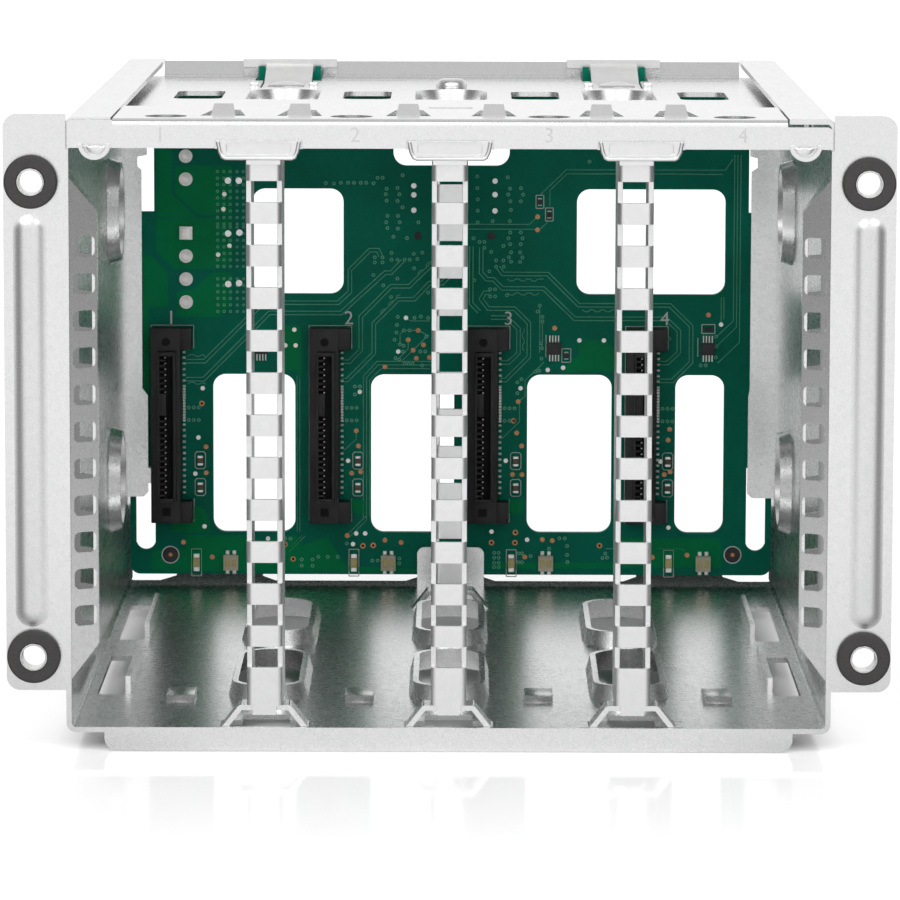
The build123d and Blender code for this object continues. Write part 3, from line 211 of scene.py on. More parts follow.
class Bench:
    """The hand tools that shape every new piece."""

    @staticmethod
    def clear() -> None:
        """Deselect every object."""
        bpy.ops.object.select_all(action="DESELECT")

    @staticmethod
    def pick(piece: Piece) -> Piece:
        """Select one piece alone and make it active.

        Args:
            piece: The piece to work on.

        Returns:
            The same piece.
        """
        Bench.clear()
        piece.select_set(True)
        bpy.context.view_layer.objects.active = piece
        return piece

    @staticmethod
    def settle(piece: Piece, name: str) -> Piece:
        """Put the piece's place into its mesh and name it.

        Args:
            piece: The piece to settle.
            name: Its plain name.

        Returns:
            The same piece.
        """
        Bench.pick(piece)
        bpy.ops.object.transform_apply(location=True, rotation=True, scale=True)
        piece.name = name
        piece.data.name = name
        return piece

    @staticmethod
    def block(name: str, low: Vector, high: Vector) -> Piece:
        """Add a block between two corners.

        Args:
            name: The piece's name.
            low: Lowest corner in metres.
            high: Highest corner in metres.

        Returns:
            The new piece.
        """
        Bench.clear()
        bpy.ops.mesh.primitive_cube_add(size=1, location=(low + high) / 2)
        piece = bpy.context.object
        piece.scale = high - low
        return Bench.settle(piece, name)

    @staticmethod
    def drum(name: str, centre: Vector, radius: float, length: float, sides: int) -> Piece:
        """Add a round drum whose flat end looks to the front.

        Args:
            name: The piece's name.
            centre: Its middle in metres.
            radius: Its radius in metres.
            length: Its length in metres.
            sides: How many sides approximate the round.

        Returns:
            The new piece.
        """
        Bench.clear()
        bpy.ops.mesh.primitive_cylinder_add(
            vertices=sides, radius=radius, depth=length, location=centre, rotation=(math.pi / 2, 0, 0)
        )
        return Bench.settle(bpy.context.object, name)

    @staticmethod
    def select_faces(piece: Piece, wanted: Callable[[bmesh.types.BMFace], bool]) -> None:
        """Select the faces that a test accepts, and stay in edit mode.

        Args:
            piece: The piece whose faces are tested.
            wanted: The test, given each face.
        """
        Bench.pick(piece)
        bpy.ops.object.mode_set(mode="EDIT")
        bpy.ops.mesh.select_mode(type="FACE")
        bpy.ops.mesh.select_all(action="DESELECT")
        mesh = bmesh.from_edit_mesh(piece.data)
        for face in mesh.faces:
            face.select_set(wanted(face))
        bmesh.update_edit_mesh(piece.data)

    @staticmethod
    def looks(direction: Vector) -> Callable[[bmesh.types.BMFace], bool]:
        """Return a test for faces that look in one direction."""
        return lambda face: face.normal.dot(direction) > 0.99

    @staticmethod
    def inset(piece: Piece, direction: Vector, margin: float, sink: float) -> None:
        """Inset the faces that look one way, then move the inner part in or out.

        Args:
            piece: The piece to shape.
            direction: The way the faces look.
            margin: Width of the rim in metres.
            sink: Move along the direction in metres, negative for inwards.
        """
        Bench.select_faces(piece, Bench.looks(direction))
        bpy.ops.mesh.inset(thickness=margin, depth=0)
        bpy.ops.mesh.extrude_region_move(TRANSFORM_OT_translate={"value": direction * sink})
        bpy.ops.object.mode_set(mode="OBJECT")

    @staticmethod
    def stepped(name: str, low: Vector, high: Vector, rim: Point, edge: float, steps: int = 2) -> Piece:
        """Add a block with a stepped front and rounded edges, as small board parts have.

        Args:
            name: The piece's name.
            low: Lowest corner in metres.
            high: Highest corner in metres.
            rim: Width of the rim and rise of the middle in millimetres.
            edge: Width of the edge round in millimetres.
            steps: Steps in the round.

        Returns:
            The new piece.
        """
        piece = Bench.block(name, low, high)
        Bench.inset(piece, FORWARD, rim[0] * MM, rim[1] * MM)
        return Bench.bevel(piece, edge * MM, steps)

    @staticmethod
    def crown(piece: Piece, direction: Vector, steps: Sequence[Point]) -> Piece:
        """Raise the face that looks one way in sloping steps, as a pressed form rises.

        Args:
            piece: The piece to shape.
            direction: The way the face looks.
            steps: Width and rise of each sloping step in millimetres.

        Returns:
            The same piece.
        """
        Bench.select_faces(piece, Bench.looks(direction))
        for width, rise in steps:
            bpy.ops.mesh.inset(thickness=width * MM, depth=rise * MM)
        bpy.ops.object.mode_set(mode="OBJECT")
        return Bench.smooth(piece, 62.0)

    @staticmethod
    def bevel(piece: Piece, width: float, segments: int, angle: float = 30.0) -> Piece:
        """Round a piece's edges with an applied bevel.

        Args:
            piece: The piece to round.
            width: Bevel width in metres.
            segments: Steps in the round.
            angle: Smallest angle in degrees that is rounded.

        Returns:
            The same piece.
        """
        Bench.pick(piece)
        modifier = piece.modifiers.new("edge round", "BEVEL")
        modifier.width = width
        modifier.segments = segments
        modifier.limit_method = "ANGLE"
        modifier.angle_limit = math.radians(angle)
        modifier.use_clamp_overlap = True
        bpy.ops.object.modifier_apply(modifier=modifier.name)
        return piece

    @staticmethod
    def smooth(piece: Piece, angle: float = 35.0) -> Piece:
        """Shade a piece smooth below an angle.

        Args:
            piece: The piece to shade.
            angle: Sharpest angle in degrees that is smoothed.

        Returns:
            The same piece.
        """
        Bench.pick(piece)
        bpy.ops.object.shade_smooth_by_angle(angle=math.radians(angle))
        return piece

    @staticmethod
    def flatten(piece: Piece) -> Piece:
        """Let the large faces of a sheet keep flat shading beside their rounded edges.

        Args:
            piece: The piece to shade.

        Returns:
            The same piece.
        """
        Bench.pick(piece)
        modifier = piece.modifiers.new("flat faces", "WEIGHTED_NORMAL")
        modifier.keep_sharp = True
        bpy.ops.object.modifier_apply(modifier=modifier.name)
        return piece

    @staticmethod
    def join(name: str, parts: Sequence[Piece]) -> Piece:
        """Join several pieces into one.

        Args:
            name: The joined piece's name.
            parts: The pieces to join.

        Returns:
            The joined piece.
        """
        Bench.clear()
        for part in parts:
            part.select_set(True)
        bpy.context.view_layer.objects.active = parts[0]
        if len(parts) > 1:
            bpy.ops.object.join()
        piece = bpy.context.view_layer.objects.active
        piece.name = name
        piece.data.name = name
        return piece

    @staticmethod
    def repeat(name: str, model: Piece, moves: Iterable[Vector]) -> Piece:
        """Copy a modelled piece to several places and join the copies.

        Args:
            name: The joined piece's name.
            model: The piece that is copied, removed at the end.
            moves: How far each copy goes, in metres.

        Returns:
            The joined piece.
        """
        copies = []
        for move in moves:
            twin = bpy.data.objects.new(name, model.data.copy())
            twin.data.transform(Matrix.Translation(move))
            bpy.context.scene.collection.objects.link(twin)
            copies.append(twin)
        bpy.data.objects.remove(model)
        return Bench.join(name, copies)

    @staticmethod
    def plate(name: str, outline: Sequence[Point], depth: float, thickness: float) -> Piece:
        """Make a thin plate that faces the front from its outline.

        Args:
            name: The piece's name.
            outline: Corners in millimetres, across and up.
            depth: Depth of its back face in millimetres.
            thickness: Thickness in millimetres.

        Returns:
            The new piece.
        """
        curve = bpy.data.curves.new(name, "CURVE")
        curve.dimensions = "2D"
        curve.fill_mode = "BOTH"
        curve.extrude = thickness * MM / 2
        line = curve.splines.new("POLY")
        line.points.add(len(outline) - 1)
        for point, (x, z) in zip(line.points, outline):
            point.co = (x * MM, z * MM, 0, 1)
        line.use_cyclic_u = True
        return Bench.stand_up(curve, name, depth - thickness / 2)

    @staticmethod
    def stand_up(curve: bpy.types.Curve, name: str, depth: float) -> Piece:
        """Turn a flat curve into a mesh that stands upright at a depth.

        Args:
            curve: A curve drawn across and up, in metres.
            name: The piece's name.
            depth: Depth in millimetres.

        Returns:
            The upright mesh.
        """
        flat = bpy.data.objects.new(name, curve)
        bpy.context.scene.collection.objects.link(flat)
        Bench.pick(flat)
        bpy.ops.object.convert(target="MESH")
        piece = bpy.context.object
        piece.data.transform(Matrix.Rotation(math.pi / 2, 4, "X"))
        piece.data.transform(Matrix.Translation(at(0, depth, 0)))
        piece.name = name
        return piece

    @staticmethod
    def tracks(
        name: str, routes: Sequence[Sequence[Point]], width: float, rise: float, depth: float,
        round_steps: int = 0,
    ) -> Piece:
        """Lay low rounded tracks along routes on a surface that faces the front.

        Args:
            name: The piece's name.
            routes: Corners of each track in millimetres, across and up.
            width: Track width in millimetres.
            rise: Height above the surface in millimetres.
            depth: Depth of the surface in millimetres.
            round_steps: Extra steps in the track's round section.

        Returns:
            The new piece.
        """
        curve = bpy.data.curves.new(name, "CURVE")
        curve.dimensions = "3D"
        curve.bevel_depth = width * MM / 2
        curve.bevel_resolution = round_steps
        curve.use_fill_caps = True
        for route in routes:
            line = curve.splines.new("POLY")
            line.points.add(len(route) - 1)
            for point, (x, z) in zip(line.points, route):
                point.co = (x * MM, z * MM, 0, 1)
        piece = Bench.stand_up(curve, name, depth)
        middle = at(0, depth, 0).y
        for vertex in piece.data.vertices:
            vertex.co.y = middle + (vertex.co.y - middle) * 2 * rise / width
        return piece


class Graph:
    """A material's nodes, with short ways to add and join them."""

    def __init__(self, name: str) -> None:
        """Start a material with one main shader."""
        self.material = bpy.data.materials.new(name)
        self.material.use_nodes = True
        self.tree = self.material.node_tree
        self.shader = self.tree.nodes["Principled BSDF"]
        self.place = self.add("ShaderNodeTexCoord").outputs["Object"]

    def add(self, kind: str, **values: object) -> bpy.types.Node:
        """Add a node and set its named inputs.

        Args:
            kind: The node's type.
            **values: Input names with underscores for spaces, and their values.

        Returns:
            The new node.
        """
        node = self.tree.nodes.new(kind)
        for key, value in values.items():
            node.inputs[key.replace("_", " ")].default_value = value
        return node

    def join(self, source: Socket, target: Socket) -> None:
        """Link one socket to another."""
        self.tree.links.new(source, target)

    def mix(self, first: Socket, second: Socket, share: float) -> Socket:
        """Mix two values.

        Args:
            first: The first value.
            second: The second value.
            share: The second's share.

        Returns:
            The mixed value.
        """
        node = self.add("ShaderNodeMix", Factor=share)
        self.join(first, node.inputs["A"])
        self.join(second, node.inputs["B"])
        return node.outputs["Result"]

    def noise(self, scale: float, detail: float, stretch: Vector | None = None) -> Socket:
        """Add a noise pattern in object space.

        Args:
            scale: Cells per metre.
            detail: Levels of finer noise.
            stretch: Optional factors along each axis.

        Returns:
            The pattern's value.
        """
        node = self.add("ShaderNodeTexNoise", Scale=scale, Detail=detail)
        if stretch is None:
            self.join(self.place, node.inputs["Vector"])
        else:
            mapping = self.add("ShaderNodeMapping", Scale=stretch)
            self.join(self.place, mapping.inputs["Vector"])
            self.join(mapping.outputs["Vector"], node.inputs["Vector"])
        return node.outputs["Fac"]

    def ramp(self, source: Socket, stops: Sequence[tuple[float, Triple]]) -> Socket:
        """Map a value to colours.

        Args:
            source: The value.
            stops: Places from 0 to 1 and their colours.

        Returns:
            The colour.
        """
        node = self.tree.nodes.new("ShaderNodeValToRGB")
        elements = node.color_ramp.elements
        while len(elements) < len(stops):
            elements.new(0.5)
        for element, (place, colour) in zip(elements, stops):
            element.position = place
            element.color = (*colour, 1)
        self.join(source, node.inputs["Fac"])
        return node.outputs["Color"]

    def span(self, source: Socket, low: float, high: float) -> Socket:
        """Map a value from 0.3 to 0.7 onto a new range.

        Args:
            source: The value.
            low: Result at 0.3.
            high: Result at 0.7.

        Returns:
            The mapped value.
        """
        node = self.tree.nodes.new("ShaderNodeMapRange")
        for key, value in (("From Min", 0.3), ("From Max", 0.7), ("To Min", low), ("To Max", high)):
            node.inputs[key].default_value = value
        self.join(source, node.inputs["Value"])
        return node.outputs["Result"]

    def bump(self, source: Socket, height: float, strength: float) -> None:
        """Give the surface relief from a value.

        Args:
            source: The height pattern.
            height: Its height in metres.
            strength: How strongly it shows.
        """
        node = self.add("ShaderNodeBump", Strength=strength, Distance=height)
        self.join(source, node.inputs["Height"])
        self.join(node.outputs["Normal"], self.shader.inputs["Normal"])


@dataclass(frozen=True)
class Galvanised:
    """Zinc-coated sheet: fine spangle, faint rolling lines and small stains."""

    name: str
    bright: Triple = (0.93, 0.93, 0.93)
    dull: Triple = (0.85, 0.855, 0.86)
    roughness: float = 0.27
    spread: float = 0.03
    spangle: float = 900.0
    grain: float = 4200.0
    roll: Vector = field(default_factory=lambda: Vector((1.0, 0.12, 1.0)))

    def make(self) -> bpy.types.Material:
        """Build the finish.

        Returns:
            The material.
        """
        graph = Graph(self.name)
        cells = graph.add("ShaderNodeTexVoronoi", Scale=self.spangle)
        graph.join(graph.place, cells.inputs["Vector"])
        grey = graph.add("ShaderNodeSeparateColor")
        graph.join(cells.outputs["Color"], grey.inputs["Color"])
        clouds = graph.noise(95.0, 4.0)
        fine = graph.noise(self.grain, 3.0)
        lines = graph.noise(900.0, 2.0, self.roll)
        stained = graph.mix(grey.outputs[0], clouds, 0.5)
        pattern = graph.mix(graph.mix(stained, lines, 0.5), fine, 0.45)
        colour = graph.ramp(pattern, [(0.3, self.dull), (0.7, self.bright)])
        graph.join(colour, graph.shader.inputs["Base Color"])
        rough = graph.span(pattern, self.roughness + self.spread, self.roughness - self.spread)
        graph.join(rough, graph.shader.inputs["Roughness"])
        graph.shader.inputs["Metallic"].default_value = 1.0
        graph.bump(pattern, 0.00002, 0.07)
        return graph.material


@dataclass(frozen=True)
class Moulded:
    """Moulded plastic or rubber with a fine grain."""

    name: str
    colour: Triple
    pale: Triple
    roughness: float = 0.5
    grain: float = 3000.0
    relief: float = 0.2

    def make(self) -> bpy.types.Material:
        """Build the finish.

        Returns:
            The material.
        """
        graph = Graph(self.name)
        pattern = graph.noise(self.grain, 3.0)
        soft = graph.noise(160.0, 3.0)
        colour = graph.ramp(graph.mix(pattern, soft, 0.4), [(0.3, self.colour), (0.72, self.pale)])
        graph.join(colour, graph.shader.inputs["Base Color"])
        rough = graph.span(soft, self.roughness - 0.06, self.roughness + 0.06)
        graph.join(rough, graph.shader.inputs["Roughness"])
        graph.bump(pattern, 0.00003, self.relief)
        return graph.material


@dataclass(frozen=True)
class SolderMask:
    """Green lacquer over copper and glass cloth."""

    name: str
    deep: Triple
    light: Triple
    weave: float = 0.25

    def make(self) -> bpy.types.Material:
        """Build the finish.

        Returns:
            The material.
        """
        graph = Graph(self.name)
        clouds = graph.noise(45.0, 5.0)
        threads = graph.noise(2400.0, 1.0)
        woven = graph.mix(clouds, threads, self.weave)
        colour = graph.ramp(woven, [(0.32, self.deep), (0.68, self.light)])
        graph.join(colour, graph.shader.inputs["Base Color"])
        rough = graph.span(clouds, 0.3, 0.42)
        graph.join(rough, graph.shader.inputs["Roughness"])
        graph.shader.inputs["Specular IOR Level"].default_value = 0.06
        graph.bump(threads, 0.00002, 0.15)
        return graph.material


@dataclass(frozen=True)
class BareMetal:
    """Solder, tin or copper with a soft uneven shine."""

    name: str
    dark: Triple
    light: Triple
    roughness: float = 0.35
    metallic: float = 1.0

    def make(self) -> bpy.types.Material:
        """Build the finish.

        Returns:
            The material.
        """
        graph = Graph(self.name)
        pattern = graph.noise(1500.0, 3.0)
        colour = graph.ramp(pattern, [(0.3, self.dark), (0.7, self.light)])
        graph.join(colour, graph.shader.inputs["Base Color"])
        rough = graph.span(pattern, self.roughness - 0.08, self.roughness + 0.08)
        graph.join(rough, graph.shader.inputs["Roughness"])
        graph.shader.inputs["Metallic"].default_value = self.metallic
        graph.bump(pattern, 0.00003, 0.3)
        return graph.material


@dataclass
class Palette:
    """Every finish of the cage, made once."""

    chassis: bpy.types.Material = field(init=False)
    cover: bpy.types.Material = field(init=False)
    divider: bpy.types.Material = field(init=False)
    latch: bpy.types.Material = field(init=False)
    stamp: bpy.types.Material = field(init=False)
    pressed: bpy.types.Material = field(init=False)
    rubber: bpy.types.Material = field(init=False)
    sleeve: bpy.types.Material = field(init=False)
    mask: bpy.types.Material = field(init=False)
    pour: bpy.types.Material = field(init=False)
    track: bpy.types.Material = field(init=False)
    ink: bpy.types.Material = field(init=False)
    solder: bpy.types.Material = field(init=False)
    copper: bpy.types.Material = field(init=False)
    black: bpy.types.Material = field(init=False)
    void: bpy.types.Material = field(init=False)
    chip: bpy.types.Material = field(init=False)
    ceramic: bpy.types.Material = field(init=False)
    lamp: bpy.types.Material = field(init=False)
    lens: bpy.types.Material = field(init=False)
    header: bpy.types.Material = field(init=False)

    def __post_init__(self) -> None:
        """Make the finishes."""
        self.chassis = Galvanised("chassis_zinc").make()
        self.cover = Galvanised("cover_zinc", bright=(0.94, 0.94, 0.94), dull=(0.87, 0.875, 0.88)).make()
        self.divider = Galvanised("divider_zinc", bright=(0.93, 0.93, 0.93), roughness=0.33).make()
        self.latch = Galvanised(
            "latch_zinc", bright=(0.8, 0.8, 0.79), dull=(0.7, 0.7, 0.7), roughness=0.3
        ).make()
        # A duller zinc: on the bay numbers it is painted shade of the stamping, on the latch forms and feed
        # discs it is their dull metal.
        self.stamp = Galvanised("stamped_zinc", bright=(0.8, 0.8, 0.8), dull=(0.72, 0.72, 0.72)).make()
        # A darker copy of the chassis zinc for the ear beads: painted shade on the beads.
        self.pressed = Galvanised("pressed_zinc", bright=(0.87, 0.87, 0.87), dull=(0.79, 0.795, 0.8)).make()
        self.rubber = Moulded(
            "grommet_rubber", (0.04, 0.038, 0.037), (0.066, 0.063, 0.062), roughness=0.62, grain=1800.0
        ).make()
        self.sleeve = BareMetal("sleeve_steel", (0.6, 0.6, 0.59), (0.8, 0.8, 0.79), roughness=0.25).make()
        self.mask = SolderMask("board_lacquer", (0.001, 0.15, 0.09), (0.004, 0.235, 0.155)).make()
        self.pour = SolderMask("copper_pour_lacquer", (0.0008, 0.21, 0.07), (0.0015, 0.3, 0.11), 0.15).make()
        self.track = SolderMask("track_lacquer", (0.12, 0.46, 0.3), (0.24, 0.6, 0.42), 0.3).make()
        self.ink = Moulded("white_ink", (0.62, 0.64, 0.62), (0.8, 0.82, 0.8), roughness=0.6).make()
        self.solder = BareMetal("solder", (0.8, 0.8, 0.78), (0.95, 0.94, 0.92), roughness=0.4).make()
        self.copper = BareMetal(
            "bare_copper", (0.5, 0.22, 0.09), (0.72, 0.36, 0.18), roughness=0.4, metallic=0.6
        ).make()
        self.black = Moulded("connector_black", (0.006, 0.006, 0.007), (0.016, 0.016, 0.017), 0.45).make()
        # Near black for deep hollows: painted shade in the slots, recesses and hole mouths.
        self.void = Moulded("contact_well", (0.001, 0.001, 0.001), (0.003, 0.003, 0.003), 0.8).make()
        self.chip = Moulded("chip_case", (0.02, 0.02, 0.022), (0.045, 0.045, 0.047), 0.5).make()
        self.ceramic = Moulded("capacitor_ceramic", (0.12, 0.07, 0.045), (0.2, 0.13, 0.09), 0.45).make()
        self.lamp = Moulded("lamp_case", (0.55, 0.5, 0.36), (0.75, 0.72, 0.58), 0.4).make()
        self.lens = Moulded("lamp_resin", (0.5, 0.42, 0.12), (0.72, 0.66, 0.32), 0.25).make()
        self.header = Moulded("header_nylon", (0.55, 0.52, 0.44), (0.68, 0.66, 0.58), 0.45).make()


def dress(piece: Piece, material: bpy.types.Material, body: str = CAGE) -> Piece:
    """Give a new piece its finish and the body it rides on.

    Args:
        piece: The piece.
        material: Its finish.
        body: The body it moves with.

    Returns:
        The same piece.
    """
    piece.data.materials.clear()
    piece.data.materials.append(material)
    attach(piece, body)
    LOG.info("piece %s with %d faces", piece.name, len(piece.data.polygons))
    return piece


def scatter(
    name: str, model: Piece, spots: Iterable[Point], material: bpy.types.Material
) -> Piece:
    """Copy a model to several spots of a face that looks to the front, and dress the copies as one piece.

    Args:
        name: The joined piece's name.
        model: The piece that is copied, removed at the end.
        spots: Places in millimetres, across and up.
        material: The finish.

    Returns:
        The joined piece.
    """
    return dress(Bench.repeat(name, model, moves(spots)), material)


def on_line(fixed: dict[int, float]) -> Callable[[bmesh.types.BMEdge], bool]:
    """Return a test for the edges that lie along one line or its mirror image.

    Args:
        fixed: The places across the line, by axis, in metres.

    Returns:
        The test.
    """
    def inside(edge: bmesh.types.BMEdge) -> bool:
        """Tell whether both ends of an edge lie on the line."""
        return all(
            abs(abs(vertex.co[axis]) - abs(place)) < 1e-5 and (axis == 0 or vertex.co[axis] * place > 0)
            for vertex in edge.verts
            for axis, place in fixed.items()
        )
    return inside


def refined(
    node: str, name: str, width: float, segments: int, angle: float = 34.0,
    bend: Callable[[bmesh.types.BMEdge], bool] | None = None, bend_radius: float = 0.9,
) -> Piece:
    """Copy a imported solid, clean its faces and round its edges.

    Args:
        node: The solid's name.
        name: The new piece's name.
        width: Width of the edge round in millimetres.
        segments: Steps in the round.
        angle: Sharpest angle in degrees that is shaded smooth.
        bend: Test for the edges that get the wider round of a bend.
        bend_radius: That round's radius in millimetres.

    Returns:
        The new piece, which stands for the solid.
    """
    source = bpy.data.objects[node]
    piece = bpy.data.objects.new(name, source.data.copy())
    bpy.context.scene.collection.objects.link(piece)
    Bench.pick(piece)
    bpy.ops.object.mode_set(mode="EDIT")
    bpy.ops.mesh.select_all(action="SELECT")
    bpy.ops.mesh.remove_doubles(threshold=1e-6)
    bpy.ops.mesh.dissolve_limited(angle_limit=math.radians(0.6))
    if bend is not None:
        bpy.ops.mesh.select_all(action="DESELECT")
        mesh = bmesh.from_edit_mesh(piece.data)
        for edge in mesh.edges:
            edge.select_set(bend(edge))
        LOG.info("bends of %s: %d edges", name, sum(edge.select for edge in mesh.edges))
        bmesh.update_edit_mesh(piece.data)
        bpy.ops.mesh.bevel(offset=bend_radius * MM, segments=4, affect="EDGES", clamp_overlap=True)
    bpy.ops.object.mode_set(mode="OBJECT")
    if width > 0:
        Bench.bevel(piece, width * MM, segments, 40.0)
    Bench.smooth(piece, angle)
    Bench.flatten(piece)
    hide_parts(node)
    return piece


@dataclass
class SheetMetal:
    """The chassis, cover, dividers and latches, with softened sheet edges."""

    palette: Palette
    edge: float = 0.14
    lip_depth: float = 0.0
    digit_height: float = 2.8
    digit_z: float = 116.1
    digit_spots: tuple[float, ...] = (-55.4, -18.8, 17.6, 54.0)
    wall_inside: float = 71.7
    ridge_x: float = 68.75
    ridge_windows: int = 11
    top_window: float = 96.0
    window_pitch: float = 7.05
    bead_inner_x: float = 75.2
    backing_half: float = 8.3
    backing_low: float = 114.7
    backing_high: float = 116.9

    def build(self) -> None:
        """Dress every sheet piece."""
        front = at(0, 0, 0).y
        ear_bends = on_line({0: self.wall_inside * MM, 1: front})
        shell = refined("chassis_shell", "chassis_sheet", self.edge, 1, bend=ear_bends)
        self.lower_beads(shell)
        self.open_ridges(shell)
        dress(shell, self.palette.chassis)
        dress(refined("top_cover", "cover_sheet", self.edge, 1), self.palette.cover)
        self.back_heads()
        for place in ("left", "centre", "right"):
            piece = refined("divider_" + place, "divider_sheet_" + place, 0.2, 2)
            dress(piece, self.palette.divider)
        dress(refined("rear_divider", "rear_divider_sheet", 0.2, 2), self.palette.divider)
        dress(refined("rear_divider_cap", "rear_rivet", 0.1, 2), self.palette.divider)
        for place in ("left", "right"):
            piece = refined("board_latch_" + place, "latch_sheet_" + place, 0.18, 2)
            dress(piece, self.palette.latch, "latch_" + place)
        for number, x in enumerate(self.digit_spots, start=1):
            self.stamp(number, x)
        PressedForms(self.palette).build()

    def back_heads(self) -> None:
        """Close the narrow gaps that the lip's notches leave round the divider heads."""
        for number, x in enumerate(HEAD_XS, start=1):
            low = at(x - self.backing_half, 0.25, self.backing_low)
            high = at(x + self.backing_half, 0.85, self.backing_high)
            backing = Bench.block("head_backing_%d" % number, low, high)
            dress(Bench.bevel(backing, 0.1 * MM, 2), self.palette.cover)

    def open_ridges(self, shell: Piece) -> None:
        """Carry the windows of the wall ridges through the rear slope.

        Args:
            shell: The chassis sheet.
        """
        cutter = Bench.block("cutter", at(-1.8, 7.6, -1.85), at(1.8, 13.4, 1.85))
        spots = [
            (side.value * self.ridge_x, self.top_window - self.window_pitch * i)
            for side in Side for i in range(self.ridge_windows)
        ]
        cutters = Bench.repeat("cutters", cutter, moves(spots))
        Bench.pick(shell)
        modifier = shell.modifiers.new("rear windows", "BOOLEAN")
        modifier.operation = "DIFFERENCE"
        modifier.solver = "EXACT"
        modifier.object = cutters
        bpy.ops.object.modifier_apply(modifier=modifier.name)
        bpy.data.objects.remove(cutters)

    def lower_beads(self, shell: Piece) -> None:
        """Lower the square-edged beads of the ears, which the round ones cover.

        Args:
            shell: The chassis sheet.
        """
        front = at(0, 0, 0).y
        for vertex in shell.data.vertices:
            place = vertex.co
            if abs(place.x) > self.bead_inner_x * MM and place.y < front - 0.3 * MM:
                place.y = front - 0.02 * MM

    def stamp(self, number: int, x: float) -> None:
        """Stamp a bay number on the cover's front lip, in darker zinc that is painted shade of the stamping.

        Args:
            number: The bay's number.
            x: Left edge of the number in millimetres.
        """
        piece = number_mark("bay_number_%d" % number, number, (x, self.digit_z),
                            self.digit_height, self.lip_depth, 0.03)
        dress(piece, self.palette.stamp)


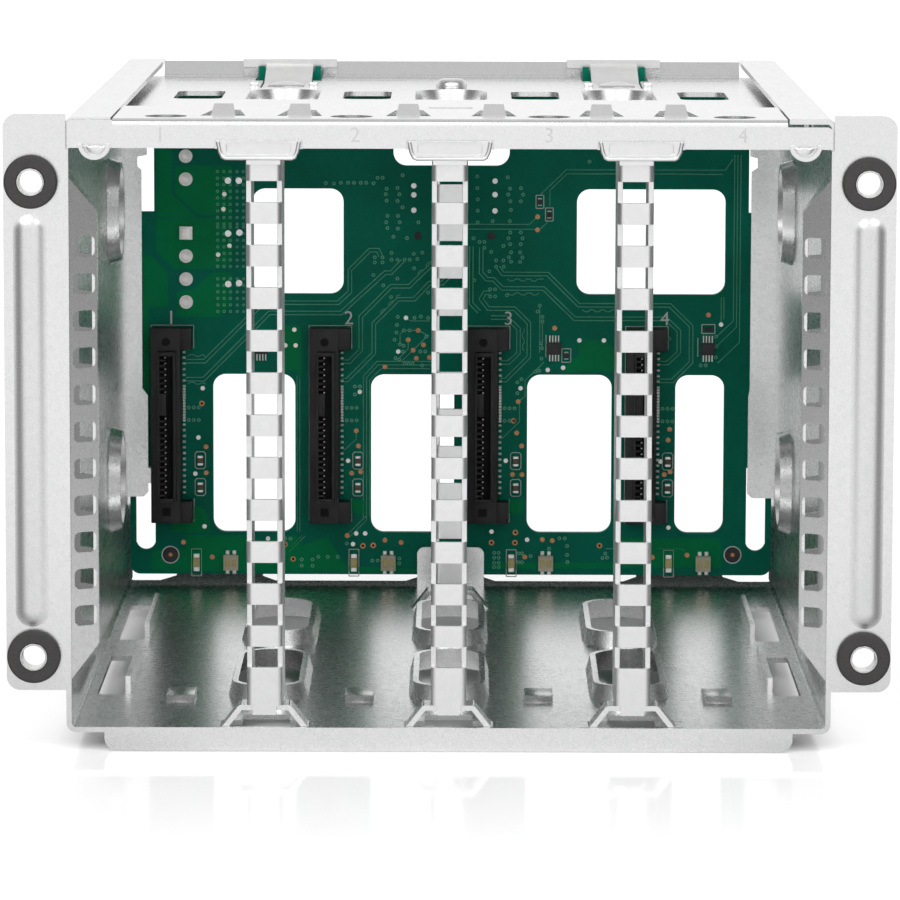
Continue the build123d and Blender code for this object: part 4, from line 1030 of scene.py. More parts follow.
@dataclass
class PressedForms:
    """The soft pressed forms of the sheets: ear beads, lip lugs and head rims."""

    palette: Palette
    bead_x: float = 79.05
    bead_half: float = 3.15
    bead_low: float = 23.8
    bead_high: float = 102.4
    bead_steps: tuple[Point, ...] = (
        (0.3, 0.05), (0.4, 0.13), (0.42, 0.19), (0.42, 0.16), (0.42, 0.09), (0.4, 0.04), (0.35, 0.01),
    )
    lug_x: float = 66.5
    lug_radius: float = 2.75
    lug_z: float = 115.5
    lug_steps: tuple[Point, ...] = ((0.35, 0.06), (0.4, 0.2), (0.4, 0.2), (0.4, 0.12), (0.45, 0.06))
    head_depth: float = -1.6
    head_rim: tuple[Point, ...] = ((7.6, 116.2), (7.25, 114.4), (6.75, 113.35), (6.2, 113.1))
    stop_slope: float = 1.7

    def build(self) -> None:
        """Make the pressed forms."""
        beads = [self.bead(side) for side in Side]
        # The beads wear the darker zinc, painted shade on the pressed beads.
        dress(Bench.join("ear_beads", beads), self.palette.pressed)
        lugs = [self.lug(side) for side in Side]
        dress(Bench.join("lip_lug_domes", lugs), self.palette.cover)
        self.roll_heads()
        self.press_stops()
        for side in Side:
            self.press_latch(side.name.lower(), side.value * LATCH_X)

    def roll_heads(self) -> None:
        """Give the divider heads their rolled rim."""
        routes = [
            [(x - half, z) for half, z in self.head_rim] + [(x + half, z) for half, z in reversed(self.head_rim)]
            for x in HEAD_XS
        ]
        rims = Bench.tracks("head_rims", routes, 0.8, 0.45, self.head_depth, 3)
        dress(Bench.smooth(rims, 50.0), self.palette.divider)

    def press_stops(self) -> None:
        """Give the drive stops of the floor their sloping sides."""
        model = Bench.block("stop", at(-2.8, 27.0, 4.4), at(2.8, 38.0, 5.66))
        Bench.select_faces(model, Bench.looks(UPWARD))
        mesh = bmesh.from_edit_mesh(model.data)
        nearest = min(vertex.co.y for vertex in mesh.verts)
        for vertex in mesh.verts:
            if vertex.select and vertex.co.y < nearest + MM:
                vertex.co.y += self.stop_slope * MM
        bmesh.update_edit_mesh(model.data)
        bpy.ops.object.mode_set(mode="OBJECT")
        Bench.smooth(Bench.bevel(model, 0.2 * MM, 2, 20.0))
        stops = Bench.repeat("stop_forms", model, moves((x, 0) for x in BAY_CENTRES))
        dress(stops, self.palette.chassis)

    def press_latch(self, place: str, x: float) -> None:
        """Press the pointed form in a latch leaf and stand the two small stops beside it.

        Args:
            place: The latch's side.
            x: Its middle in millimetres.
        """
        leaf = Bench.block("leaf form", at(x - 3.9, 150.0, 117.0), at(x + 3.9, 160.0, 117.08))
        Bench.crown(leaf, UPWARD, ((0.4, 0.25), (1.6, 0.35), (1.0, 0.2)))
        leaf.name = "latch_form_" + place
        dress(leaf, self.palette.stamp, "latch_" + place)
        tab = Bench.block("tab", at(x - 0.9, 138.2, 117.3), at(x + 0.9, 140.2, 118.7))
        Bench.bevel(tab, 0.3 * MM, 2)
        stops = Bench.repeat("latch_stops_" + place, tab, moves(((-6.4, 0), (6.2, 0))))
        dress(Bench.smooth(stops), self.palette.cover)

    def capsule(self, centre: float, half: float, low: float, high: float, turns: int) -> list[Point]:
        """Return an upright outline with round ends.

        Args:
            centre: Middle across in millimetres.
            half: Half its width in millimetres.
            low: Lowest point in millimetres.
            high: Highest point in millimetres.
            turns: Steps in each round end.

        Returns:
            The outline's corners.
        """
        outline = []
        for middle, start in ((high - half, 0.0), (low + half, math.pi)):
            for i in range(turns + 1):
                angle = start + math.pi * i / turns
                outline.append((centre + half * math.cos(angle), middle + half * math.sin(angle)))
        return outline

    def bead(self, side: Side) -> Piece:
        """Press the long round bead of one ear.

        Args:
            side: The ear's side.

        Returns:
            The bead.
        """
        outline = self.capsule(side.value * self.bead_x, self.bead_half, self.bead_low, self.bead_high, 18)
        plate = Bench.plate("bead", outline, 0.05, 0.08)
        return Bench.crown(plate, FORWARD, self.bead_steps)

    def lug(self, side: Side) -> Piece:
        """Press the round dome in a lug below the cover's lip.

        Args:
            side: The lug's side.

        Returns:
            The dome.
        """
        middle, radius = side.value * self.lug_x, self.lug_radius
        outline = [
            (middle + radius * math.cos(angle), self.lug_z + radius * math.sin(angle))
            for angle in (math.pi * (1 + i / 16) for i in range(17))
        ]
        plate = Bench.plate("lug", outline, 0.0, 0.06)
        return Bench.crown(plate, FORWARD, self.lug_steps)


def number_mark(name: str, number: int, corner: Point, height: float, depth: float, rise: float) -> Piece:
    """Write one plain number on a face that looks to the front.

    Args:
        name: The piece's name.
        number: The number to write.
        corner: Its lower left corner in millimetres, across and up.
        height: Digit height in millimetres.
        depth: Depth of the face in millimetres.
        rise: How far the digit stands proud in millimetres.

    Returns:
        The new piece.
    """
    Bench.clear()
    bpy.ops.object.text_add()
    text = bpy.context.object
    text.data.body = str(number)
    text.data.size = height * MM / 0.7
    text.data.extrude = rise * MM / 2
    text.data.resolution_u = 4
    bpy.ops.object.convert(target="MESH")
    piece = bpy.context.object
    piece.data.transform(Matrix.Rotation(math.pi / 2, 4, "X"))
    piece.data.transform(Matrix.Translation(at(corner[0], depth - rise / 2, corner[1])))
    piece.name = name
    return piece


def capacitor_spots() -> list[Point]:
    """Return the places of the capacitors, two in each bay, the last bay's clear of its window."""
    shifts = [CAPACITOR_SHIFT] * (len(BAY_CENTRES) - 1) + [LAST_CAPACITOR_SHIFT]
    return [(bay + shift, z) for bay, shift in zip(BAY_CENTRES, shifts) for z in CAPACITOR_ZS]


@dataclass
class EarFittings:
    """The rubber grommets and metal sleeves of the two ears."""

    palette: Palette

    def build(self) -> None:
        """Dress each grommet and sleeve."""
        for place in ("top_left", "top_right", "bottom_left", "bottom_right"):
            ring = refined("grommet_" + place, "grommet_ring_" + place, 0.15, 2, 50.0)
            dress(ring, self.palette.rubber)
            tube = refined("sleeve_" + place, "sleeve_tube_" + place, 0.08, 2, 50.0)
            dress(tube, self.palette.sleeve)


@dataclass
class BoardFace:
    """The backplane board's lacquer, copper, ink, holes and solder."""

    palette: Palette
    rise: float = 0.03
    pair_gap: float = 0.78
    line: float = 0.24
    wave: float = 0.6
    stitch_pitch: float = 1.45
    square_half: float = 1.45
    mark_height: float = 3.0
    pours: tuple[tuple[Point, ...], ...] = (
        ((-64.9, 101.3), (-61.6, 101.3), (-61.6, 91.6), (-56.0, 86.4), (-65.2, 86.4)),
        ((-60.7, 97.9), (-48.4, 97.9), (-48.4, 87.0), (-55.7, 87.0), (-61.1, 91.7)),
        ((-65.3, 86.0), (-65.2, 78.8), (-61.1, 75.0), (-50.1, 75.1), (-48.4, 76.8), (-48.4, 86.3),
         (-55.4, 86.4)),
        ((-53.0, 74.2), (-48.5, 74.2), (-48.5, 67.1), (-51.3, 64.4), (-60.6, 64.4), (-60.6, 69.9),
         (-56.9, 70.5)),
        ((-70.4, 46.8), (-66.9, 46.8), (-66.9, 66.6), (-62.6, 66.6), (-62.6, 74.2), (-66.2, 78.0),
         (-70.4, 78.0)),
        ((-37.9, 62.4), (-33.2, 62.4), (-33.2, 50.6), (-34.4, 52.6), (-37.9, 52.6)),
        ((28.3, 59.4), (34.1, 59.4), (36.9, 56.8), (37.0, 51.0), (35.4, 52.6), (24.1, 52.3), (28.3, 56.4)),
        ((-58.9, 15.6), (-44.6, 15.6), (-43.0, 14.6), (-34.0, 15.6), (-33.0, 13.4), (-27.4, 15.4),
         (-23.4, 8.8), (-7.4, 8.0), (-7.4, 7.5), (-66.5, 7.5), (-66.5, 12.0), (-58.9, 12.6)),
        ((-62.0, 22.0), (-55.2, 22.0), (-53.6, 19.0), (-53.6, 16.2), (-62.0, 16.2)),
        ((37.8, 15.2), (59.4, 15.2), (60.2, 14.4), (60.2, 8.6), (9.0, 8.2), (9.0, 9.6), (37.8, 9.6)),
        ((-24.4, 23.6), (-18.9, 23.6), (-18.9, 20.6), (-24.4, 20.6)),
        ((10.8, 23.6), (16.2, 23.6), (16.2, 20.6), (10.8, 20.6)),
    )
    pairs: tuple[tuple[Point, ...], ...] = (
        ((-58.7, 54.5), (-54.6, 54.5), (-45.6, 63.5), (-41.5, 67.6), (-25.0, 67.6), (-22.4, 70.0),
         (-22.4, 74.9), (-18.0, 79.3), (-16.2, 79.3), (-15.6, 78.0)),
        ((-58.7, 50.5), (-54.8, 50.5), (-45.6, 59.8), (-40.2, 65.3), (-24.4, 65.3), (-14.6, 74.3),
         (-13.3, 74.3), (-10.7, 77.0)),
        ((-24.4, 54.5), (-22.5, 54.5), (-20.0, 57.1), (-20.0, 64.5), (-13.3, 71.3), (-9.3, 71.3),
         (0.0, 80.3)),
        ((-24.4, 50.4), (-23.0, 50.4), (-17.1, 56.4), (-17.1, 63.0), (-11.7, 68.4), (-8.2, 68.4),
         (-4.8, 72.0), (-2.0, 72.0), (2.4, 76.5)),
        ((4.4, 80.2), (4.4, 67.5), (6.2, 65.7)),
        ((6.6, 80.0), (6.6, 74.3), (7.9, 72.9), (9.3, 72.9), (11.3, 70.9), (20.4, 70.9), (27.3, 64.2),
         (47.6, 64.2), (50.4, 61.5), (50.4, 56.8), (47.9, 54.4), (45.6, 54.4)),
        ((10.3, 75.6), (11.4, 74.1), (21.3, 74.1), (28.2, 67.2), (48.4, 67.2), (53.1, 62.6), (53.1, 54.5),
         (49.0, 50.4), (45.6, 50.4)),
        ((8.6, 69.9), (7.4, 69.9), (6.6, 68.5), (8.2, 66.4), (14.0, 66.4), (17.2, 63.2), (17.2, 55.7),
         (12.1, 50.5), (10.8, 50.5)),
        ((8.8, 64.4), (12.4, 64.4), (14.9, 61.9), (14.9, 56.5), (12.7, 54.4), (10.8, 54.4)),
    )
    singles: tuple[tuple[Point, ...], ...] = (
        ((19.5, 91.6), (25.3, 97.2), (60.4, 97.2), (62.0, 99.6)),
        ((21.7, 89.2), (21.7, 92.6), (25.4, 96.3), (59.8, 96.3)),
        ((1.9, 85.1), (17.2, 85.1), (18.8, 86.6)),
        ((1.9, 84.0), (19.5, 84.0), (21.2, 85.6)),
        ((62.4, 100.6), (62.4, 63.8), (58.7, 60.3)),
        ((63.1, 100.6), (63.1, 62.4), (58.8, 58.2)),
        ((63.8, 100.6), (63.8, 59.0), (59.0, 54.4)),
        ((59.7, 69.1), (59.7, 63.6)),
        ((60.3, 69.1), (60.3, 64.2)),
        ((-19.4, 19.1), (-19.4, 51.3), (-16.4, 54.6), (-4.0, 54.6)),
        ((-18.7, 19.1), (-18.7, 51.0), (-16.1, 53.8), (-4.0, 53.8)),
        ((-18.0, 19.8), (-18.0, 50.4), (-15.4, 53.0), (-4.8, 53.0)),
        ((-34.1, 51.3), (-34.1, 16.4)),
        ((-33.5, 51.3), (-33.5, 16.4)),
        ((20.6, 54.5), (16.4, 50.4), (16.4, 46.9), (15.0, 45.7)),
        ((15.2, 45.2), (15.2, 41.2), (11.4, 37.5), (10.8, 37.5)),
        ((19.6, 67.0), (19.6, 56.6)),
        ((20.2, 64.0), (20.2, 58.0)),
        ((-10.0, 64.1), (-8.9, 63.6), (-4.7, 63.6)),
        ((-11.3, 58.4), (-11.3, 60.6), (-10.5, 61.5), (-7.3, 61.5), (-4.9, 60.3)),
        ((-9.5, 59.1), (-9.5, 57.4), (-11.4, 55.4)),
        ((-5.5, 60.0), (-8.4, 57.1), (-11.0, 54.6)),
        ((-21.0, 38.6), (-21.0, 37.2), (-23.6, 34.8)),
        ((-23.4, 15.4), (-18.8, 20.0)),
        ((-22.6, 15.2), (-18.6, 19.2)),
        ((-32.4, 15.4), (-36.0, 11.8)),
        ((-33.0, 15.6), (-35.2, 13.4)),
        ((34.6, 12.8), (44.0, 12.8)),
        ((46.0, 12.8), (51.6, 12.8), (52.6, 11.6)),
    )
    small_vias: Readings = (
        (SOCKET_SHEET, (
            (908, 200), (958, 202), (998, 196), (1042, 197), (1077, 197), (1118, 197), (1152, 197),
            (1194, 199), (1220, 168), (1250, 168), (1368, 150), (1275, 232), (1268, 266), (1275, 302),
            (1338, 228), (1350, 266), (1340, 307), (1368, 343), (1280, 395), (1270, 433), (1280, 468),
            (1343, 395), (1353, 433), (1343, 470), (1314, 520), (1395, 527), (1464, 433), (1303, 618),
            (1437, 622), (1489, 615), (1203, 645), (1249, 645), (1304, 657), (1338, 657), (1383, 657),
            (1412, 657), (1457, 654), (1203, 675), (1249, 675), (1440, 710), (1194, 750), (1338, 772),
            (1253, 812), (1523, 857), (1300, 883), (1342, 1000)
        )),
        (MIDDLE_SHEET, ((889, 149), (886, 196), (875, 238))),
        (UPPER_RIGHT_SHEET, (
            (76, 148), (76, 212), (76, 276), (76, 341), (76, 405), (245, 152), (258, 215), (319, 215),
            (248, 250), (331, 250), (260, 287), (318, 287), (263, 334), (161, 398), (258, 398),
            (260, 463), (318, 463), (250, 494), (328, 494), (260, 528), (318, 528), (222, 537),
            (263, 573), (315, 573), (250, 600), (328, 600), (263, 625), (315, 625), (152, 570),
            (181, 618), (220, 618), (179, 653), (222, 653), (142, 679), (54, 495), (86, 515), (115, 514),
            (115, 547), (58, 730), (146, 780), (175, 780), (146, 821), (175, 821), (239, 812), (426, 872),
            (413, 905), (703, 66)
        )),
        (MIDDLE_SHEET, (
            (637, 517), (668, 517), (637, 566), (930, 183), (965, 183), (1065, 220), (909, 266),
            (930, 273), (925, 308), (880, 350), (902, 357), (935, 381), (960, 381), (985, 381),
            (1040, 393), (1031, 310), (1060, 310), (996, 108), (1033, 98), (1078, 108)
        )),
        (RIGHT_SHEET, (
            (350, 102), (350, 128), (343, 260), (347, 291), (345, 352), (308, 430), (330, 425),
            (225, 476), (201, 494), (201, 558)
        )),
        (LAST_BAY_SHEET, ((1333, 220), (1333, 278), (1330, 345), (1242, 393), (1272, 393), (1053, 232))),
        (LOWER_LEFT_SHEET, (
            (757, 48), (787, 48), (850, 165), (850, 200), (910, 165), (910, 200), (943, 150), (995, 150),
            (1050, 150), (1102, 75), (1246, 172), (1276, 172), (1397, 160), (1397, 186)
        )),
        (LOWER_RIGHT_SHEET, (
            (422, 47), (453, 47), (466, 90), (466, 138), (466, 180), (364, 103), (680, 132), (663, 156),
            (690, 156), (192, 132), (214, 132), (260, 145), (192, 181), (214, 181), (58, 128), (81, 128),
            (58, 155), (81, 155), (58, 182), (81, 182), (57, 208), (81, 209)
        )),
    )
    solder_dots: Readings = (
        (PICTURE, (
            (202.8, 388), (198.3, 437.3), (195.2, 473.7), (204.5, 526.2), (294.3, 329.7), (285.2, 345.3),
            (295.7, 345.3), (406, 317.7), (398.3, 351.7), (359.8, 391.8), (348.2, 460.8), (356.2, 533.3),
            (365.3, 533.3), (352.9, 543.9), (267.9, 538.4), (520.5, 388), (506, 460.5), (491.5, 531.3),
            (527.2, 539.5), (579.3, 340.5), (603.7, 340.5), (563.2, 367.8), (547.8, 370), (721.2, 324.5),
            (660.3, 461.7), (668.5, 527.5)
        )),
        (FEED_SHEET, ((445, 265), (440, 355), (478, 575), (408, 628))),
    )
    test_dots: Readings = (
        (PICTURE, (
            (206.3, 446.7), (206.3, 472.8), (385.3, 366.8), (418.3, 330.5), (408, 339.7), (423.7, 345),
            (413.2, 350), (416.3, 358.3), (429.3, 357.2), (356.2, 430.8), (358.3, 445.8), (351.5, 473),
            (360.5, 472), (347, 535.5), (385, 540.2), (401, 542.2), (518.3, 401.7), (516.7, 433),
            (521.7, 445.7), (512.3, 474.3), (522, 474.3), (542.2, 539.5), (552.2, 540.4), (554.8, 328),
            (708.5, 315), (669.5, 429.3), (668.3, 440), (664.2, 474.5), (670.3, 471.8), (183.6, 542),
            (212.5, 556.8), (524.9, 557.1), (652.2, 557.5), (687, 555.4), (537.6, 216.6), (537.6, 229.8)
        )),
    )
    ringed_holes: Readings = (
        (PICTURE, (
            (201.8, 403.3), (285.2, 544.3), (293.2, 559.1), (363, 545.7), (373.2, 545.4), (491.5, 542.5),
            (515.3, 532.5), (515, 542.7), (599.4, 545.4), (513.8, 421)
        )),
    )
    shield_posts: Readings = (
        (SOCKET_SHEET, ((1438, 213), (1438, 267), (1438, 360))),
        (UPPER_RIGHT_SHEET, ((174, 173), (174, 249), (174, 340))),
    )
    pegs: Readings = (
        (SOCKET_SHEET, ((1462, 514),)),
        (UPPER_RIGHT_SHEET, ((152, 482),)),
    )
    power_x: float = -58.6
    power_zs: tuple[float, ...] = (110.2, 105.1, 100.0, 94.9, 77.9, 72.8, 67.7)
    square_joint: Point = (-58.6, 83.0)
    waves: tuple[tuple[Point, Point, float], ...] = (
        ((12.4, 69.9), (19.4, 69.9), -0.45),
        ((12.4, 73.0), (20.4, 73.0), -0.45),
        ((29.0, 66.2), (38.0, 66.2), -0.45),
        ((-15.6, 65.0), (-11.2, 69.4), 0.45),
        ((-7.4, 73.6), (-2.4, 78.6), 0.45),
        ((16.2, 57.0), (16.2, 62.0), 0.4),
        ((-58.4, 55.6), (-54.4, 55.6), 0.4),
        ((-58.4, 49.4), (-54.4, 49.4), 0.4),
    )
    part_frames: tuple[tuple[Point, float, float], ...] = (
        ((25.5, 56.0), 2.0, 3.0),
        ((19.5, 90.1), 1.7, 2.9),
        ((21.6, 87.3), 1.7, 2.9),
        ((56.9, 62.0), 2.9, 2.0),
    )
    fiducials: tuple[Point, ...] = ((-62.3, 11.2), (62.7, 11.5))
    mark_spots: tuple[Point, ...] = ((-63.0, 62.8), (-23.7, 62.8), (11.6, 62.8), (46.2, 62.8))
    feed_rows: tuple[tuple[float, float], ...] = ((85.0, 97.0), (75.6, 84.6), (65.6, 73.2))
    feed_columns: tuple[float, ...] = (-51.6, -50.2, -48.8, -47.3, -45.9)
    feed_discs: Readings = (
        (FEED_SHEET, ((468, 183), (533, 185), (468, 500), (535, 497), (468, 803), (533, 800))),
    )

    def build(self) -> None:
        """Dress the board's front."""
        board = refined("backplane_board", "board_laminate", 0.06, 1)
        dress(board, self.palette.mask)
        self.lay_pours()
        self.lay_tracks()
        self.place_vias()
        self.place_joints()
        self.print_ink()

    def lay_pours(self) -> None:
        """Lay the brighter copper areas."""
        parts = [Bench.plate("pour", outline, BOARD_DEPTH, self.rise) for outline in self.pours]
        dress(Bench.join("copper_pours", parts), self.palette.pour)

    def beside(self, route: Sequence[Point], shift: float) -> list[Point]:
        """Return a route moved sideways, with mitred corners.

        Args:
            route: Corners in millimetres.
            shift: Distance to the left of the way it runs.

        Returns:
            The moved corners.
        """
        moved = []
        last = len(route) - 1
        for i, (x, z) in enumerate(route):
            before = Vector(route[i]) - Vector(route[i - 1]) if i else Vector(route[1]) - Vector(route[0])
            after = Vector(route[i + 1]) - Vector(route[i]) if i < last else before
            first, second = before.normalized(), after.normalized()
            along = (first + second).normalized()
            spread = shift / max(0.5, along.dot(first))
            moved.append((x - along.y * spread, z + along.x * spread))
        return moved

    def wavy(self, start: Point, end: Point, size: float, step: float) -> list[Point]:
        """Return a short meandering route between two points.

        Args:
            start: First point.
            end: Last point.
            size: Height of the waves.
            step: Length of a half wave.

        Returns:
            The route's corners.
        """
        first, last = Vector(start), Vector(end)
        along = (last - first).normalized()
        across = Vector((-along.y, along.x))
        count = max(2, int((last - first).length / step))
        points = [start]
        for i in range(1, count):
            spot = first.lerp(last, i / count)
            lift = size if i % 4 in (1, 2) else 0.0
            points.append(tuple(spot + across * lift))
        points.append(end)
        return points

    def lay_tracks(self) -> None:
        """Lay the paired signal tracks, single tracks and meanders."""
        routes = []
        for pair in self.pairs:
            routes.append(self.beside(pair, self.pair_gap / 2))
            routes.append(self.beside(pair, -self.pair_gap / 2))
        piece = Bench.tracks("paired_tracks", routes, self.line, self.rise * 1.4, BOARD_DEPTH)
        dress(piece, self.palette.track)
        singles = [list(route) for route in self.singles]
        singles += [self.wavy(start, end, size, self.wave) for start, end, size in self.waves]
        piece = Bench.tracks("single_tracks", singles, self.line * 0.85, self.rise * 1.3, BOARD_DEPTH)
        dress(piece, self.palette.track)

    def ring(self, name: str, outer: float, inner: float, sides: int) -> Piece:
        """Make a flat ring at the middle of the board.

        Args:
            name: The piece's name.
            outer: Outer radius in millimetres.
            inner: Inner radius in millimetres.
            sides: Sides of the round.

        Returns:
            The ring, to be copied into place.
        """
        Bench.clear()
        bpy.ops.mesh.primitive_circle_add(
            vertices=sides, radius=outer * MM, fill_type="NGON", location=at(0, BOARD_DEPTH, 0),
            rotation=(math.pi / 2, 0, 0),
        )
        piece = Bench.settle(bpy.context.object, name)
        Bench.select_faces(piece, lambda face: True)
        bpy.ops.mesh.extrude_region_move(TRANSFORM_OT_translate={"value": (0, -self.rise * 1.5 * MM, 0)})
        bpy.ops.mesh.inset(thickness=(outer - inner) * MM, depth=0)
        bpy.ops.mesh.extrude_region_move(TRANSFORM_OT_translate={"value": (0, self.rise * MM, 0)})
        bpy.ops.mesh.delete(type="ONLY_FACE")
        bpy.ops.object.mode_set(mode="OBJECT")
        return piece

    def bead(self, name: str, radius: float, height: float, sides: int) -> Piece:
        """Make a low solder bead at the middle of the board.

        Args:
            name: The piece's name.
            radius: Its radius in millimetres.
            height: Its height in millimetres.
            sides: Sides of the round.

        Returns:
            The bead, to be copied into place.
        """
        middle = at(0, BOARD_DEPTH - height * 0.25, 0)
        piece = Bench.drum(name, middle, radius * MM, height * 0.5 * MM, sides)
        Bench.inset(piece, FORWARD, radius * 0.3 * MM, height * 0.35 * MM)
        Bench.inset(piece, FORWARD, radius * 0.3 * MM, height * 0.15 * MM)
        return Bench.smooth(piece, 60.0)

    def place_vias(self) -> None:
        """Place the small vias, feed stitches and ringed holes."""
        finish = self.palette
        spots = read_off(self.small_vias)
        scatter("vias", self.ring("via", 0.42, 0.2, 10), spots, finish.track)
        scatter("via_holes", self.ring("via hole", 0.2, 0.04, 8), spots, finish.mask)
        stitches = []
        for low, high in self.feed_rows:
            count = int((high - low) / self.stitch_pitch)
            heights = [low + self.stitch_pitch * i for i in range(count + 1)]
            stitches += [(x, z) for x in self.feed_columns for z in heights]
        scatter("feed_stitches", self.ring("stitch", 0.36, 0.2, 8), stitches, finish.track)
        rows = [(bay + shift, z) for bay in BAY_CENTRES for shift in (-5.6, -4.5, -3.4) for z in (41.4, 44.2)]
        scatter("row_vias", self.ring("row via", 0.42, 0.22, 10), rows, finish.track)
        spots = read_off(self.ringed_holes)
        scatter("ringed_holes", self.ring("ringed hole", 0.62, 0.3, 14), spots, finish.copper)
        # The hole mouths are near black, painted shade inside the holes.
        scatter("hole_mouths", self.bead("hole", 0.3, 0.06, 12), spots, finish.void)

    def place_joints(self) -> None:
        """Place solder beads, test dots, power joints, posts and pegs."""
        finish = self.palette
        for name, size, spots, material, slot in (
            ("solder_dots", (0.5, 0.3, 14), self.solder_dots, finish.solder, "tinned_metal"),
            ("test_dots", (0.54, 0.1, 14), self.test_dots, finish.copper, "tinned_metal"),
            ("shield_posts", (0.6, 0.9, 16), self.shield_posts, finish.solder, "tinned_metal"),
            ("socket_pegs", (0.85, 0.25, 18), self.pegs, finish.black, "connector_plastic"),
            ("feed_discs", (0.72, 0.12, 12), self.feed_discs, finish.stamp, "tinned_metal"),
        ):
            scatter(name, self.bead("bead", *size), read_off(spots), material)
        joints = [self.power_joint((self.power_x, z)) for z in self.power_zs]
        dress(Bench.join("power_joints", joints), finish.solder)
        x, z = self.square_joint
        half = self.square_half
        low, high = at(x - half, BOARD_DEPTH - 0.5, z - half), at(x + half, BOARD_DEPTH, z + half)
        square = Bench.stepped("square_power_joint", low, high, (0.35, 0.25), 0.12)
        dress(Bench.smooth(square), finish.solder)

    def power_joint(self, spot: Point) -> Piece:
        """Make a large solder cone with the pin's end in its middle.

        Args:
            spot: Its middle in millimetres, across and up.

        Returns:
            The joint.
        """
        middle = at(spot[0], BOARD_DEPTH - 0.15, spot[1])
        cone = Bench.drum("power joint", middle, 1.5 * MM, 0.3 * MM, 24)
        for rim, rise in ((0.5, 0.5), (0.35, 0.2), (0.15, 0.5)):
            Bench.inset(cone, FORWARD, rim * MM, rise * MM)
        return Bench.smooth(cone, 50.0)

    def frame_line(self, centre: Point, width: float, height: float, corner: float) -> list[Point]:
        """Return a closed outline with cut corners.

        Args:
            centre: Its middle in millimetres.
            width: Width in millimetres.
            height: Height in millimetres.
            corner: Size of the cut corners in millimetres.

        Returns:
            The outline, its first point repeated at the end.
        """
        x, z = centre
        half, tall = width / 2, height / 2
        near, low = half - corner, tall - corner
        turns = (
            (-near, -tall), (near, -tall), (half, -low), (half, low),
            (near, tall), (-near, tall), (-half, low), (-half, -low), (-near, -tall),
        )
        return [(x + across, z + up) for across, up in turns]

    def print_ink(self) -> None:
        """Print the white outlines, the bay numbers and the round marks."""
        lines = []
        for bay in BAY_CENTRES:
            lines.append(self.frame_line((bay - 4.0, 9.5), 2.2, 6.0, 0.05))
            left = bay - 13.9
            lines.append([(left, 19.0), (left, 62.5), (left + 9.4, 62.5), (left + 9.4, 57.4)])
            lines.append([(left + 9.4, 23.8), (left + 9.4, 18.8), (left, 18.8)])
        lines += [self.frame_line(spot, 2.3, 3.8, 0.4) for spot in capacitor_spots()]
        lines += [self.frame_line(*frame, 0.1) for frame in self.part_frames]
        lines.append([(21.0, 60.6), (21.0, 55.6)])
        lines.append([(54.6, 60.0), (54.6, 55.8)])
        piece = Bench.tracks("ink_lines", lines, 0.24, self.rise * 1.5, BOARD_DEPTH)
        dress(piece, self.palette.ink)
        for number, spot in enumerate(self.mark_spots, start=1):
            mark = number_mark("bay_mark_%d" % number, number, spot, self.mark_height, BOARD_DEPTH, 0.05)
            dress(mark, self.palette.ink)
        ring = self.ring("fiducial ring", 2.0, 1.75, 40)
        scatter("fiducial_rings", ring, self.fiducials, self.palette.ink)
        disc = self.bead("fiducial disc", 1.7, 0.05, 32)
        scatter("fiducial_discs", disc, self.fiducials, self.palette.chip)
        dot = self.bead("fiducial dot", 0.45, 0.14, 16)
        scatter("fiducial_dots", dot, self.fiducials, self.palette.copper)


